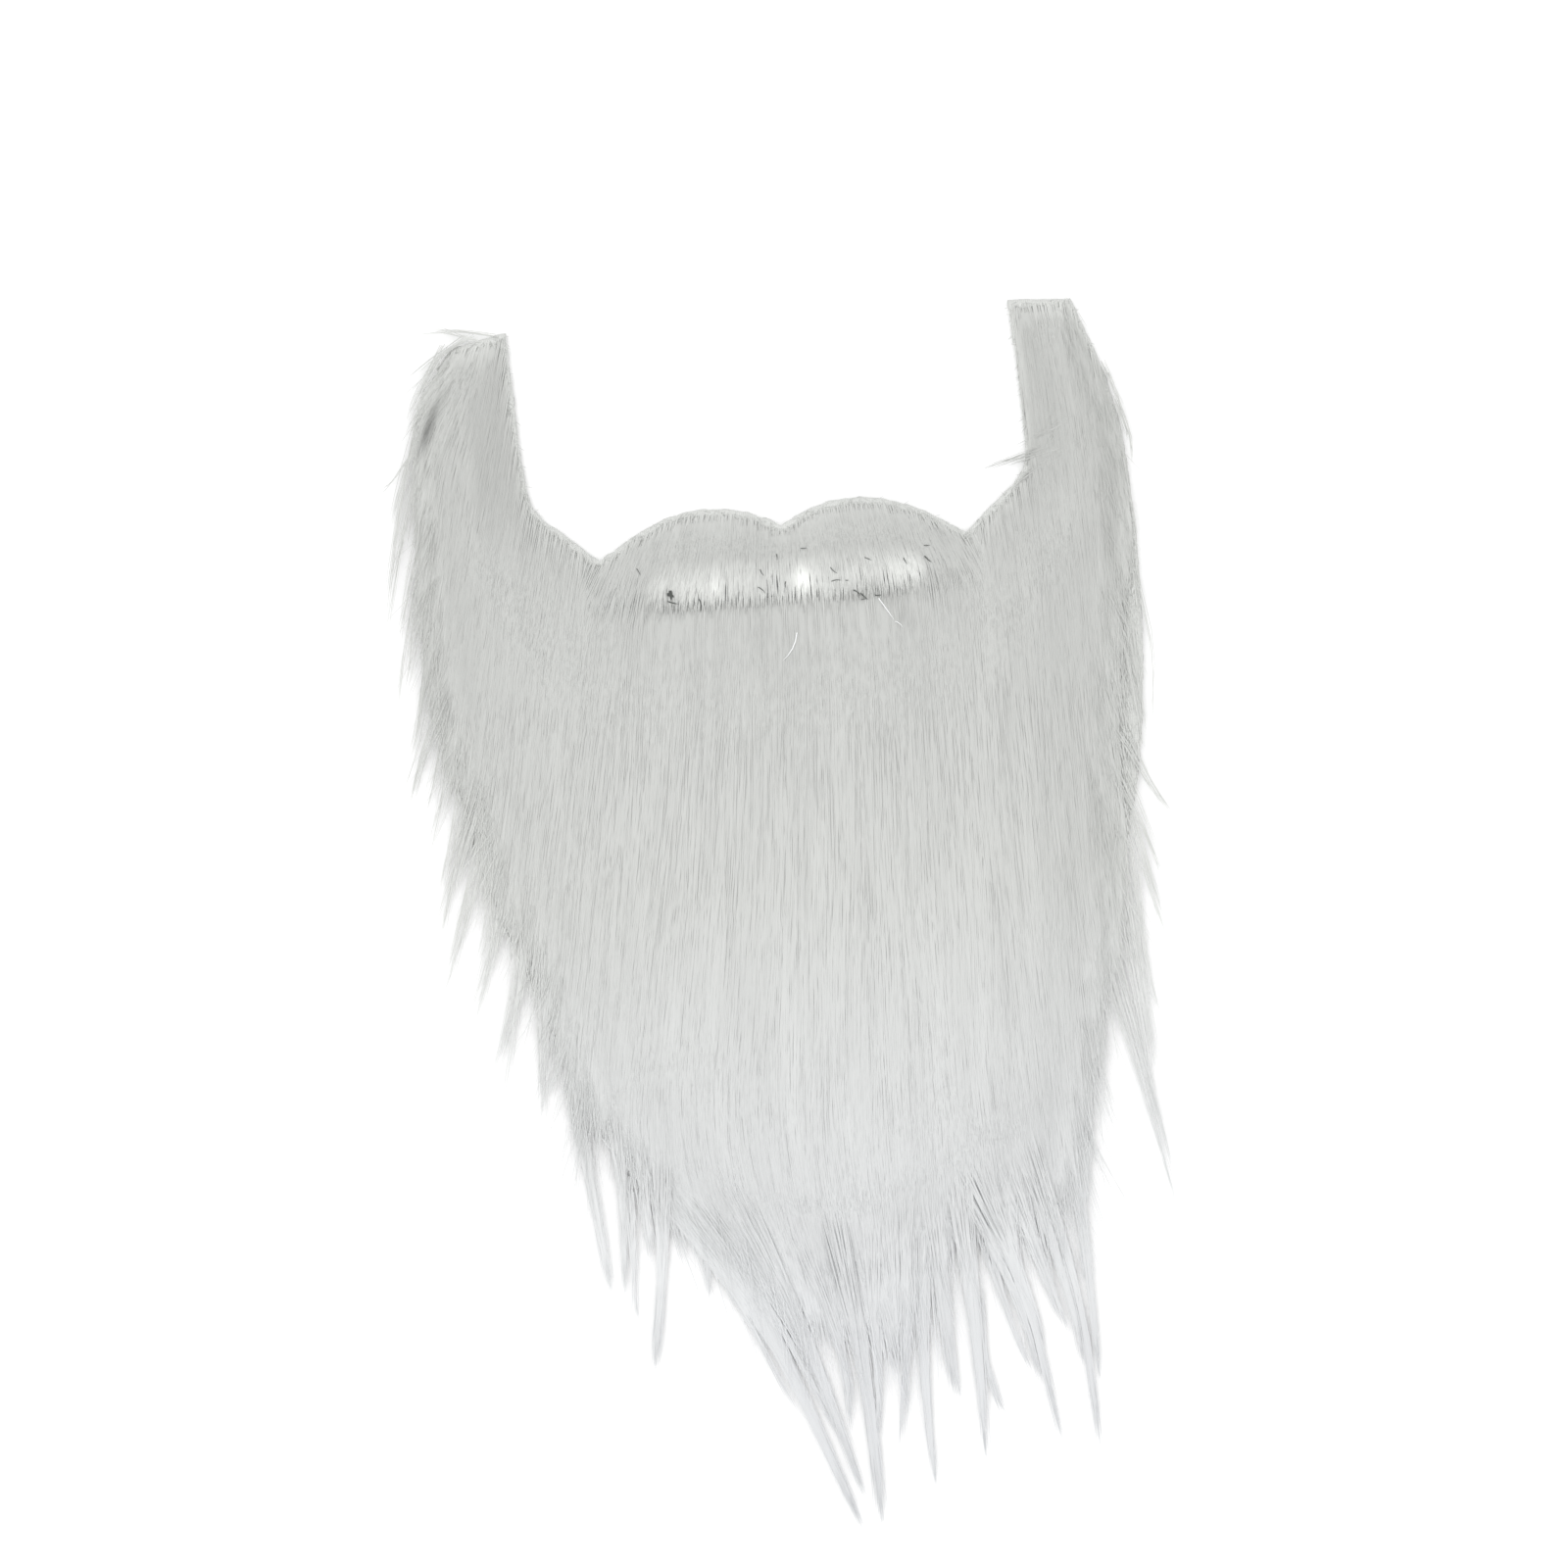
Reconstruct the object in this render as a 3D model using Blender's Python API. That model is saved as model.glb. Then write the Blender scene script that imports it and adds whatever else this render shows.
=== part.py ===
"""Fake beard of long-pile fur on a cut cloth backing, lying on its back.

+Z is up, out of the fur. +Y runs from the beard's tips up to the sideburns, and +X to the viewer's right.
The origin is on the underside of the backing, in the middle of the upper lip.
"""

import math
from collections import namedtuple

import bmesh
import bpy
from mathutils import Vector
from mathutils.geometry import delaunay_2d_cdt
from mathutils.kdtree import KDTree

MM = 0.001
WELD_DISTANCE = 1e-6

# Driving sizes in millimetres: the cloth and its mouth slit
CLOTH_THICKNESS = 1.6
SLIT_HALF_LENGTH = 38.0
SLIT_HALF_HEIGHT = 4.0
SLIT_Y = -10.0

# The pile: its gap to the cloth, its height at the rim and inside it, and how it comes down past the cloth
PILE_GAP = 0.3
PILE_BOTTOM = CLOTH_THICKNESS + PILE_GAP
RIM_HEIGHT = 4.6
FULL_HEIGHT = 15.0
RAMP_WIDTH = 38.0
FLOOR_CLEARANCE = 0.4
LEVEL_PAST_CLOTH = 6.0
DROP_WIDTH = 10.0

# A lock's section and taper, as shares of its width or its length, and how far out it takes to reach the floor
LOCK_FLATNESS = 0.55
LOCK_ROOT_WIDTH = 0.6
LOCK_TIP_WIDTH = 0.12
LOCK_ROOT_LENGTH = 0.35
LOCK_REACH_BACK = 0.55
LOCK_SUNK = 0.35
LOCK_DROOP_WIDTH = 16.0
LOCK_RINGS = 6

# How finely the outlines and the pads are divided, and how near two outlines lie where they meet at a seam
OUTLINE_STEP = 6.0
FINE_STEP = 2.0
PAD_GRID = 9.0
SEAM_REACH = 2.2

# Outlines, in millimetres: each row is a point on the cut line and how the line turns there
RimPoint = namedtuple("RimPoint", "x y turn")

CLOTH_HALF = [
    RimPoint(0.0, 6.0, "corner"),
    RimPoint(9.0, 10.6, "smooth"),
    RimPoint(23.0, 12.6, "smooth"),
    RimPoint(38.0, 8.6, "smooth"),
    RimPoint(52.5, 0.0, "corner"),
    RimPoint(62.0, 8.6, "smooth"),
    RimPoint(70.5, 17.0, "smooth"),
    RimPoint(71.0, 36.0, "smooth"),
    RimPoint(69.5, 65.0, "corner"),
    RimPoint(87.5, 64.0, "corner"),
    RimPoint(96.0, 40.0, "smooth"),
    RimPoint(100.0, 14.0, "smooth"),
    RimPoint(100.5, -30.0, "smooth"),
    RimPoint(96.0, -72.0, "smooth"),
    RimPoint(85.0, -110.0, "smooth"),
    RimPoint(68.0, -148.0, "smooth"),
    RimPoint(38.0, -176.0, "smooth"),
    RimPoint(0.0, -187.0, "smooth"),
]

SIDEBURN_INNER_SIDE = [
    RimPoint(40.5, -13.85, "corner"),
    RimPoint(40.5, -9.0, "corner"),
    RimPoint(52.8, -3.2, "corner"),
    RimPoint(63.6, 5.4, "smooth"),
    RimPoint(73.2, 15.4, "smooth"),
    RimPoint(73.6, 36.0, "smooth"),
    RimPoint(72.0, 62.0, "corner"),
    RimPoint(85.8, 61.2, "corner"),
]

# The left sideburn is the fuller one on its outer side
RIGHT_OUTER_SIDE = [
    RimPoint(94.2, 40.0, "smooth"),
    RimPoint(99.8, 14.0, "smooth"),
    RimPoint(101.2, -13.85, "corner"),
]

LEFT_OUTER_SIDE = [
    RimPoint(97.0, 44.0, "smooth"),
    RimPoint(102.6, 20.0, "smooth"),
    RimPoint(104.8, -13.85, "corner"),
]

MOUSTACHE_HALF = [
    RimPoint(0.0, 3.2, "corner"),
    RimPoint(10.0, 8.0, "smooth"),
    RimPoint(23.0, 9.9, "smooth"),
    RimPoint(37.0, 6.0, "smooth"),
    RimPoint(50.4, -2.2, "corner"),
    RimPoint(40.0, -7.0, "corner"),
    RimPoint(36.0, -5.7, "smooth"),
    RimPoint(0.0, -5.7, "smooth"),
]

BEARD_OUTLINE = [
    RimPoint(101.0, -14.15, "corner"),
    RimPoint(100.0, -40.0, "smooth"),
    RimPoint(97.0, -72.0, "smooth"),
    RimPoint(92.0, -105.0, "smooth"),
    RimPoint(80.0, -138.0, "smooth"),
    RimPoint(74.0, -168.0, "smooth"),
    RimPoint(70.0, -192.0, "smooth"),
    RimPoint(56.0, -198.0, "smooth"),
    RimPoint(40.0, -199.0, "smooth"),
    RimPoint(30.0, -213.0, "smooth"),
    RimPoint(14.0, -224.0, "smooth"),
    RimPoint(-6.0, -218.0, "smooth"),
    RimPoint(-26.0, -203.0, "smooth"),
    RimPoint(-45.0, -186.0, "smooth"),
    RimPoint(-62.0, -168.0, "smooth"),
    RimPoint(-75.0, -138.0, "smooth"),
    RimPoint(-82.0, -112.0, "smooth"),
    RimPoint(-94.0, -82.0, "smooth"),
    RimPoint(-102.4, -48.0, "smooth"),
    RimPoint(-104.6, -14.15, "corner"),
]

# Locks that make the ragged edge, in millimetres: where each leaves the dense pile, bends towards and ends
Lock = namedtuple("Lock", "base_x base_y bend_x bend_y tip_x tip_y width")

LEFT_SIDEBURN_LOCKS = [
    Lock(-99.0, 44.0, -105.0, 32.0, -110.0, 12.0, 7.0),
    Lock(-101.0, 26.0, -107.0, 12.0, -112.0, -9.5, 8.0),
]

RIGHT_SIDEBURN_LOCKS = [
    Lock(96.0, 34.0, 99.0, 22.0, 100.5, 6.0, 6.0),
]

BEARD_EDGE_LOCKS = [
    Lock(-101.0, -26.0, -107.0, -42.0, -113.0, -64.0, 9.0),
    Lock(-99.0, -42.0, -103.0, -54.0, -106.5, -74.0, 8.0),
    Lock(-95.0, -66.0, -100.5, -82.0, -106.0, -105.6, 9.0),
    Lock(-90.0, -80.0, -98.0, -99.0, -106.0, -119.5, 8.0),
    Lock(-85.5, -92.0, -91.8, -112.0, -98.4, -129.0, 9.0),
    Lock(-80.0, -107.0, -87.5, -127.5, -94.3, -148.0, 11.0),
    Lock(-74.0, -126.0, -79.5, -144.0, -83.5, -164.0, 9.0),
    Lock(-68.0, -156.0, -67.5, -181.0, -66.7, -207.6, 8.0),
    Lock(-61.0, -159.0, -61.0, -185.0, -61.3, -213.5, 8.0),
    Lock(-52.0, -174.0, -52.5, -200.0, -55.4, -226.8, 9.0),
    Lock(-42.0, -184.0, -21.5, -219.0, -1.4, -277.2, 12.0),
    Lock(-28.0, -194.0, -12.0, -227.0, 2.9, -278.6, 11.0),
    Lock(-8.0, -208.0, 3.0, -237.0, 6.2, -278.9, 12.0),
    Lock(6.0, -216.0, 10.0, -240.0, 9.5, -266.8, 8.0),
    Lock(15.0, -216.0, 16.0, -234.0, 14.6, -256.1, 12.0),
    Lock(21.0, -214.0, 22.5, -244.0, 23.0, -269.0, 8.0),
    Lock(28.0, -206.0, 30.0, -228.0, 31.6, -247.3, 9.0),
    Lock(34.0, -200.0, 38.0, -234.0, 37.6, -264.6, 10.0),
    Lock(42.0, -194.0, 53.5, -224.0, 57.8, -266.4, 10.0),
    Lock(53.0, -194.0, 58.0, -218.0, 60.5, -239.5, 8.0),
    Lock(64.0, -188.0, 67.5, -224.0, 69.2, -261.7, 11.0),
    Lock(71.0, -186.0, 71.5, -212.0, 73.4, -240.0, 6.0),
    Lock(97.5, -26.0, 102.0, -44.0, 101.0, -61.0, 6.0),
    Lock(94.5, -64.0, 99.5, -74.0, 106.0, -85.5, 7.0),
    Lock(93.0, -86.0, 98.0, -100.0, 101.9, -119.0, 9.0),
    Lock(88.5, -106.0, 92.2, -124.0, 95.8, -143.6, 9.0),
    Lock(83.0, -124.0, 92.2, -156.0, 98.4, -199.6, 10.0),
    Lock(76.0, -146.0, 78.5, -158.0, 78.8, -171.0, 6.0),
]

# Rows of locks that lie over the beard's pile, in millimetres, and their lean from straight down in degrees
BEARD_ROWS_Y = [-32.0, -62.0, -92.0, -122.0, -150.0, -176.0]
BEARD_COLUMNS = 6
BEARD_SPACING = 19.0
BEARD_LENGTH = 46.0
BEARD_WIDTH = 17.0
BEARD_LEAN = -4.6
BEARD_SPLAY_PER_MM = 0.11
BEARD_VARIATION = 0.14
BEARD_VARIATION_LEAN = 20.0

# Locks over the right sideburn, which the left one mirrors, and over the right half of the moustache
CombedLock = namedtuple("CombedLock", "x y length width lean")

SIDEBURN_LOCKS = [
    CombedLock(79.5, 50.0, 28.0, 10.0, 5.0),
    CombedLock(90.0, 50.0, 28.0, 10.0, 5.0),
    CombedLock(79.5, 26.0, 28.0, 10.0, 5.0),
    CombedLock(90.0, 26.0, 28.0, 10.0, 5.0),
    CombedLock(60.0, -1.0, 7.0, 10.0, 6.0),
    CombedLock(74.0, 9.0, 14.0, 10.0, 6.0),
    CombedLock(89.0, 10.0, 14.0, 10.0, 6.0),
]

MOUSTACHE_LOCKS = [
    CombedLock(8.0, 4.6, 9.0, 6.5, 14.0),
    CombedLock(16.0, 4.6, 9.0, 6.5, 18.0),
    CombedLock(24.0, 4.6, 9.0, 6.5, 22.0),
    CombedLock(32.0, 4.6, 9.0, 6.5, 26.0),
]

COLOURS = {
    "backing": (0.70, 0.70, 0.68, 1.0),
    "moustache": (0.62, 0.63, 0.61, 1.0),
    "sideburns": (0.59, 0.60, 0.58, 1.0),
    "beard": (0.66, 0.67, 0.66, 1.0),
}


def clear_scene():
    for obj in list(bpy.data.objects):
        bpy.data.objects.remove(obj)


def new_collection(name):
    collection = bpy.data.collections.new(name)
    bpy.context.scene.collection.children.link(collection)
    return collection


def fibre_material(name, roughness):
    material = bpy.data.materials.new(name)
    material.use_nodes = True
    shader = material.node_tree.nodes["Principled BSDF"]
    shader.inputs["Base Color"].default_value = COLOURS[name]
    shader.inputs["Roughness"].default_value = roughness
    shader.inputs["Metallic"].default_value = 0.0
    return material


def catmull_rom(a, b, c, d, t):
    """A point between b and c on the smooth line through a, b, c and d."""
    return 0.5 * (2 * b + (c - a) * t + (2 * a - 5 * b + 4 * c - d) * t**2 + (3 * b - a - 3 * c + d) * t**3)


def sampled(table, step=OUTLINE_STEP):
    """The closed line through a table of rim points, about a step apart, with its corners kept sharp."""
    points = [Vector((row.x, row.y)) for row in table]
    count = len(table)
    line = []
    for i, row in enumerate(table):
        j = (i + 1) % count
        start, end = points[i], points[j]
        before = start - (end - start) if row.turn == "corner" else points[i - 1]
        after = end + (end - start) if table[j].turn == "corner" else points[(j + 1) % count]
        pieces = max(1, round((end - start).length / step))
        for k in range(pieces):
            line.append(catmull_rom(before, start, end, after, k / pieces))
    return line


def mirrored(table):
    return [RimPoint(-row.x, row.y, row.turn) for row in reversed(table)]


def both_halves(half):
    """A whole outline from its right half, whose first and last points lie on the middle line."""
    return half + mirrored(half[1:-1])


def inside(outline, point):
    crossings = False
    for a, b in zip(outline, outline[1:] + outline[:1]):
        if (a.y > point.y) != (b.y > point.y):
            crossing_x = a.x + (point.y - a.y) * (b.x - a.x) / (b.y - a.y)
            crossings ^= point.x < crossing_x
    return crossings


def nearest_tree(points):
    tree = KDTree(len(points))
    for index, point in enumerate(points):
        tree.insert((point.x, point.y, 0.0), index)
    tree.balance()
    return tree


class Pile:
    """The height of the laid-down pile over the backing, low at its rim and full in its middle."""

    def __init__(self, outlines, cloth):
        self.outlines = [sampled(outline) for outline in outlines]
        fine = [sampled(outline, FINE_STEP) for outline in outlines]
        rim, seams = [], []
        for i, line in enumerate(fine):
            others = nearest_tree([p for j, other in enumerate(fine) if j != i for p in other])
            for point in line:
                at_seam = others.find((point.x, point.y, 0.0))[2] < SEAM_REACH
                (seams if at_seam else rim).append(point)
        self.rim = nearest_tree(rim)
        self.seams = nearest_tree(seams)
        self.cloth_line = sampled(cloth, FINE_STEP)
        self.cloth_edge = nearest_tree(self.cloth_line)

    def covers(self, point):
        if self.seams.find((point.x, point.y, 0.0))[2] < SEAM_REACH:
            return True
        return any(inside(outline, point) for outline in self.outlines)

    def past_cloth(self, point):
        """How far a point lies outside the backing's edge, or 0 where it is over the backing."""
        if inside(self.cloth_line, point):
            return 0.0
        return self.cloth_edge.find((point.x, point.y, 0.0))[2]

    def bottom(self, point, margin=LEVEL_PAST_CLOTH):
        """The underside of the pile: on the backing, or down by the floor well past its edge."""
        share = min(max((self.past_cloth(point) - margin) / DROP_WIDTH, 0.0), 1.0)
        return PILE_BOTTOM + (FLOOR_CLEARANCE - PILE_BOTTOM) * share

    def top(self, point):
        depth = self.rim.find((point.x, point.y, 0.0))[2] if self.covers(point) else 0.0
        ease = math.sin(min(depth / RAMP_WIDTH, 1.0) * math.pi / 2)
        return RIM_HEIGHT + (FULL_HEIGHT - RIM_HEIGHT) * ease

    def outside(self, point):
        return 0.0 if self.covers(point) else self.rim.find((point.x, point.y, 0.0))[2]


def make_backing(table, collection, material):
    """The flat cloth, cut to the beard's outline, with the mouth slit through it."""
    curve = bpy.data.curves.new("backing_cloth", "CURVE")
    curve.dimensions = "2D"
    curve.fill_mode = "BOTH"
    curve.extrude = CLOTH_THICKNESS / 2 * MM
    for line in (sampled(table), slit_line()):
        spline = curve.splines.new("POLY")
        spline.points.add(len(line) - 1)
        for point, place in zip(spline.points, line):
            point.co = (place.x * MM, place.y * MM, 0.0, 1.0)
        spline.use_cyclic_u = True
    backing = bpy.data.objects.new("backing_cloth", curve)
    backing.location.z = CLOTH_THICKNESS / 2 * MM
    backing.data.materials.append(material)
    collection.objects.link(backing)


def slit_line(end_steps=6):
    """The mouth slit, a long slot with round ends."""
    line = []
    for side in (1, -1):
        centre_x = side * (SLIT_HALF_LENGTH - SLIT_HALF_HEIGHT)
        for k in range(end_steps + 1):
            angle = math.pi * (k / end_steps - 0.5)
            x = centre_x + side * SLIT_HALF_HEIGHT * math.cos(angle)
            line.append(Vector((x, SLIT_Y + side * SLIT_HALF_HEIGHT * math.sin(angle))))
    return line


def make_pad(name, table, pile, collection, material):
    """A crowned pad of pile over one region of the backing."""
    outline = sampled(table)
    edge = nearest_tree(outline)
    left, right = min(p.x for p in outline), max(p.x for p in outline)
    low, high = min(p.y for p in outline), max(p.y for p in outline)
    middle = []
    for row in range(int((high - low) / PAD_GRID) + 1):
        for column in range(int((right - left) / PAD_GRID) + 1):
            offset = PAD_GRID / 2 * (row % 2)
            point = Vector((left + column * PAD_GRID + offset, low + row * PAD_GRID))
            clear = edge.find((point.x, point.y, 0.0))[2] > PAD_GRID / 2
            if clear and inside(outline, point):
                middle.append(point)
    ring = [(i, (i + 1) % len(outline)) for i in range(len(outline))]
    corners, _, faces, *_ = delaunay_2d_cdt(outline + middle, ring, [], 1, 1e-4)

    shape = bmesh.new()
    floor = [shape.verts.new((p.x * MM, p.y * MM, pile.bottom(p) * MM)) for p in corners]
    for face in faces:
        shape.faces.new([floor[i] for i in face])
    raised = bmesh.ops.extrude_face_region(shape, geom=shape.faces[:])
    for vert in raised["geom"]:
        if isinstance(vert, bmesh.types.BMVert):
            vert.co.z = pile.top(Vector((vert.co.x / MM, vert.co.y / MM))) * MM
    bmesh.ops.recalc_face_normals(shape, faces=shape.faces[:])
    mesh = bpy.data.meshes.new(name)
    shape.to_mesh(mesh)
    shape.free()
    mesh.materials.append(material)
    pad = bpy.data.objects.new(name, mesh)
    collection.objects.link(pad)
    return pad


def lock_width_share(along):
    """How wide a lock is along its length: it swells from its root and then tapers to its tip."""
    if along < LOCK_ROOT_LENGTH:
        return LOCK_ROOT_WIDTH + (1 - LOCK_ROOT_WIDTH) * math.sin(along / LOCK_ROOT_LENGTH * math.pi / 2)
    left = (1 - along) / (1 - LOCK_ROOT_LENGTH)
    return LOCK_TIP_WIDTH + (1 - LOCK_TIP_WIDTH) * left


def make_lock(name, lock, pile, collection):
    """A flattened, tapering lock that starts in the pile and comes down to the floor past its edge."""
    base = Vector((lock.base_x, lock.base_y))
    bend = Vector((lock.bend_x, lock.bend_y))
    tip = Vector((lock.tip_x, lock.tip_y))
    root = base + (base - bend) * LOCK_REACH_BACK
    curve = bpy.data.curves.new(name, "CURVE")
    curve.dimensions = "3D"
    curve.bevel_depth = MM
    curve.bevel_resolution = 1
    curve.use_fill_caps = True
    spline = curve.splines.new("POLY")
    spline.points.add(LOCK_RINGS)
    for k, point in enumerate(spline.points):
        along = k / LOCK_RINGS
        place = root * (1 - along) ** 2 + bend * (2 * along * (1 - along)) + tip * along**2
        half_width = lock.width / 2 * lock_width_share(along)
        half_height = half_width * LOCK_FLATNESS
        sunk = LOCK_SUNK + max(0.0, 1.0 - along / LOCK_ROOT_LENGTH)
        in_pile = pile.top(place) - sunk * half_height
        on_floor = FLOOR_CLEARANCE + half_height
        out = min(pile.outside(place) / LOCK_DROOP_WIDTH, 1.0)
        lowest = pile.bottom(place, half_width + FINE_STEP) + half_height
        height = max(in_pile + (on_floor - in_pile) * out, lowest)
        point.co = (place.x * MM, place.y * MM, height / LOCK_FLATNESS * MM, 1.0)
        point.radius = half_width
    tube = bpy.data.objects.new(name, curve)
    tube.scale.z = LOCK_FLATNESS
    collection.objects.link(tube)
    solid_from_curve(tube, collection)


def solid_from_curve(tube, collection):
    """Puts a mesh with welded caps in the place of a curve, so that it can be joined to other solids."""
    bpy.context.view_layer.update()
    evaluated = tube.evaluated_get(bpy.context.evaluated_depsgraph_get())
    mesh = bpy.data.meshes.new_from_object(evaluated)
    shape = bmesh.new()
    shape.from_mesh(mesh)
    bmesh.ops.remove_doubles(shape, verts=shape.verts[:], dist=WELD_DISTANCE)
    bmesh.ops.recalc_face_normals(shape, faces=shape.faces[:])
    shape.to_mesh(mesh)
    shape.free()
    solid = bpy.data.objects.new(tube.name + "_solid", mesh)
    solid.matrix_world = tube.matrix_world.copy()
    solid.hide_render = True
    solid.display_type = "WIRE"
    collection.objects.link(solid)
    bpy.data.objects.remove(tube)


def fuse(pad, locks):
    """Fuses locks into a pad, which becomes one solid."""
    union = pad.modifiers.new("fused locks", "BOOLEAN")
    union.operation = "UNION"
    union.solver = "EXACT"
    union.operand_type = "COLLECTION"
    union.collection = locks
    union.use_self = True


def laid_lock(comb, side=1):
    """A lock of the laid pile, leaning outwards, on the right (1) or the left side (-1)."""
    angle = math.radians(side * comb.lean)
    direction = Vector((math.sin(angle), -math.cos(angle)))
    base = Vector((side * comb.x, comb.y))
    bend = base + direction * comb.length / 2
    tip = base + direction * comb.length
    return Lock(*base, *bend, *tip, comb.width)


def beard_rows(outline):
    """Staggered rows of broad locks over the beard, fanned out and varied in place, length and lean."""
    locks = []
    for row, row_y in enumerate(BEARD_ROWS_Y):
        for column in range(-BEARD_COLUMNS, BEARD_COLUMNS + 1):
            varied = BEARD_VARIATION * math.sin(2.4 * column + 1.7 * row)
            x = (column + 0.5 * (row % 2)) * BEARD_SPACING
            y = row_y + varied * BEARD_SPACING
            lean = BEARD_LEAN + x * BEARD_SPLAY_PER_MM + varied * BEARD_VARIATION_LEAN
            lock = laid_lock(CombedLock(x, y, BEARD_LENGTH * (1 + varied), BEARD_WIDTH, lean))
            outer_side = Vector((x + math.copysign(BEARD_WIDTH / 2 + 1, x), y))
            tip = Vector((lock.tip_x, lock.tip_y))
            if inside(outline, outer_side) and inside(outline, tip):
                locks.append(lock)
    return locks


def make_fur(name, table, locks, pile, collection, material):
    pad = make_pad(name, table, pile, collection, material)
    helpers = new_collection(name + "_locks")
    for index, lock in enumerate(locks):
        make_lock(f"{name}_lock_{index}", lock, pile, helpers)
    helpers.hide_render = True
    fuse(pad, helpers)


def main():
    clear_scene()
    parts = new_collection("fake_beard")
    left_sideburn = mirrored(SIDEBURN_INNER_SIDE + LEFT_OUTER_SIDE)
    right_sideburn = SIDEBURN_INNER_SIDE + RIGHT_OUTER_SIDE
    moustache = both_halves(MOUSTACHE_HALF)
    cloth = both_halves(CLOTH_HALF)
    pile = Pile([left_sideburn, right_sideburn, moustache, BEARD_OUTLINE], cloth)

    make_backing(cloth, parts, fibre_material("backing", 0.9))
    moustache_locks = [laid_lock(comb, side) for side in (-1, 1) for comb in MOUSTACHE_LOCKS]
    make_fur("moustache_fur", moustache, moustache_locks, pile, parts, fibre_material("moustache", 0.6))
    sideburn_finish = fibre_material("sideburns", 0.6)
    left_locks = [laid_lock(comb, -1) for comb in SIDEBURN_LOCKS] + LEFT_SIDEBURN_LOCKS
    make_fur("sideburn_fur_left", left_sideburn, left_locks, pile, parts, sideburn_finish)
    right_locks = [laid_lock(comb) for comb in SIDEBURN_LOCKS] + RIGHT_SIDEBURN_LOCKS
    make_fur("sideburn_fur_right", right_sideburn, right_locks, pile, parts, sideburn_finish)
    beard_locks = beard_rows(sampled(BEARD_OUTLINE)) + BEARD_EDGE_LOCKS
    make_fur("beard_fur", BEARD_OUTLINE, beard_locks, pile, parts, fibre_material("beard", 0.6))


main()
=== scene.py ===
import math

import bpy
import numpy as np
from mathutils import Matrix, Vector
from mathutils.geometry import delaunay_2d_cdt


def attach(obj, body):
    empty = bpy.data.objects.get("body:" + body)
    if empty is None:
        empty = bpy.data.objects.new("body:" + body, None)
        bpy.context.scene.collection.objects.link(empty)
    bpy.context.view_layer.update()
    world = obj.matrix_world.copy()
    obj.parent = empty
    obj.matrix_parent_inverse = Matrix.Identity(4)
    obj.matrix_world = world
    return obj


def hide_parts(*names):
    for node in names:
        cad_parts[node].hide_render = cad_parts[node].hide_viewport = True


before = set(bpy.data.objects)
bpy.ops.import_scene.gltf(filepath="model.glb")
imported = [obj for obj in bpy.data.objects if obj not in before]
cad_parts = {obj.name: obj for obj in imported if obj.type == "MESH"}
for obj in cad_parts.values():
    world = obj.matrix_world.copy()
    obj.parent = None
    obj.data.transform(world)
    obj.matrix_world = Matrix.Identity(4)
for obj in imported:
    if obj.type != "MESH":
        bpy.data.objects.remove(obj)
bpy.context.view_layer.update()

# lengths are worked out in millimetres and become metres when a mesh is made
mm = 0.001
rng = np.random.default_rng(46)
triangleTotal = 0


# camera, floor and light

studio = {
    "photoWidth": 448.0,           # how much the square picture takes in
    "photoCentre": (-5.1, -67.5),  # the point under its middle
    "photoTurn": 4.6,              # degrees that the beard lies turned by
    "lens": 85.0,
    "sensor": 36.0,
    "floorSize": 5.0,              # m
    "floorGrey": 0.92,
    "floorDrop": 0.3,              # so that the cloth never cuts into the floor
    "skyStrength": 1.15,
    "keyPower": 8.0,               # W, one big soft light from the top left
    "keySize": 1.5,                # m
    "keyPlace": (-0.8, 0.9, 1.6),  # m
}


def setUpStudio():
    scene = bpy.context.scene
    camera = bpy.data.objects.new("camera", bpy.data.cameras.new("camera"))
    scene.collection.objects.link(camera)
    camera.data.lens = studio["lens"]
    camera.data.sensor_width = studio["sensor"]
    x, y = studio["photoCentre"]
    height = studio["photoWidth"] * studio["lens"] / studio["sensor"]
    camera.location = (x * mm, y * mm, height * mm)
    camera.rotation_euler = (0, 0, -math.radians(studio["photoTurn"]))
    scene.camera = camera

    world = bpy.data.worlds.new("sky")
    world.use_nodes = True
    sky = world.node_tree.nodes["Background"]
    sky.inputs["Color"].default_value = (1, 1, 1, 1)
    sky.inputs["Strength"].default_value = studio["skyStrength"]
    scene.world = world
    scene.view_settings.view_transform = "Standard"

    key = bpy.data.objects.new("keyLight", bpy.data.lights.new("keyLight", "AREA"))
    scene.collection.objects.link(key)
    key.data.energy = studio["keyPower"]
    key.data.size = studio["keySize"]
    key.location = studio["keyPlace"]
    key.rotation_euler = (-Vector(studio["keyPlace"])).to_track_quat("-Z", "Y").to_euler()

    half = studio["floorSize"] / 2
    mesh = bpy.data.meshes.new("floor")
    corners = [(-half, -half, 0), (half, -half, 0), (half, half, 0), (-half, half, 0)]
    mesh.from_pydata(corners, [], [(0, 1, 2, 3)])
    floor = bpy.data.objects.new("floor", mesh)
    floor.location.z = -studio["floorDrop"] * mm
    scene.collection.objects.link(floor)
    paper, _, _, shader = newMaterial("floorPaper", "paper")
    shader.inputs["Base Color"].default_value = (*[studio["floorGrey"]] * 3, 1)
    mesh.materials.append(paper)


# outlines: the cloth's cut comes from the frame, the fur's edge is where it stops being dense

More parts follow.
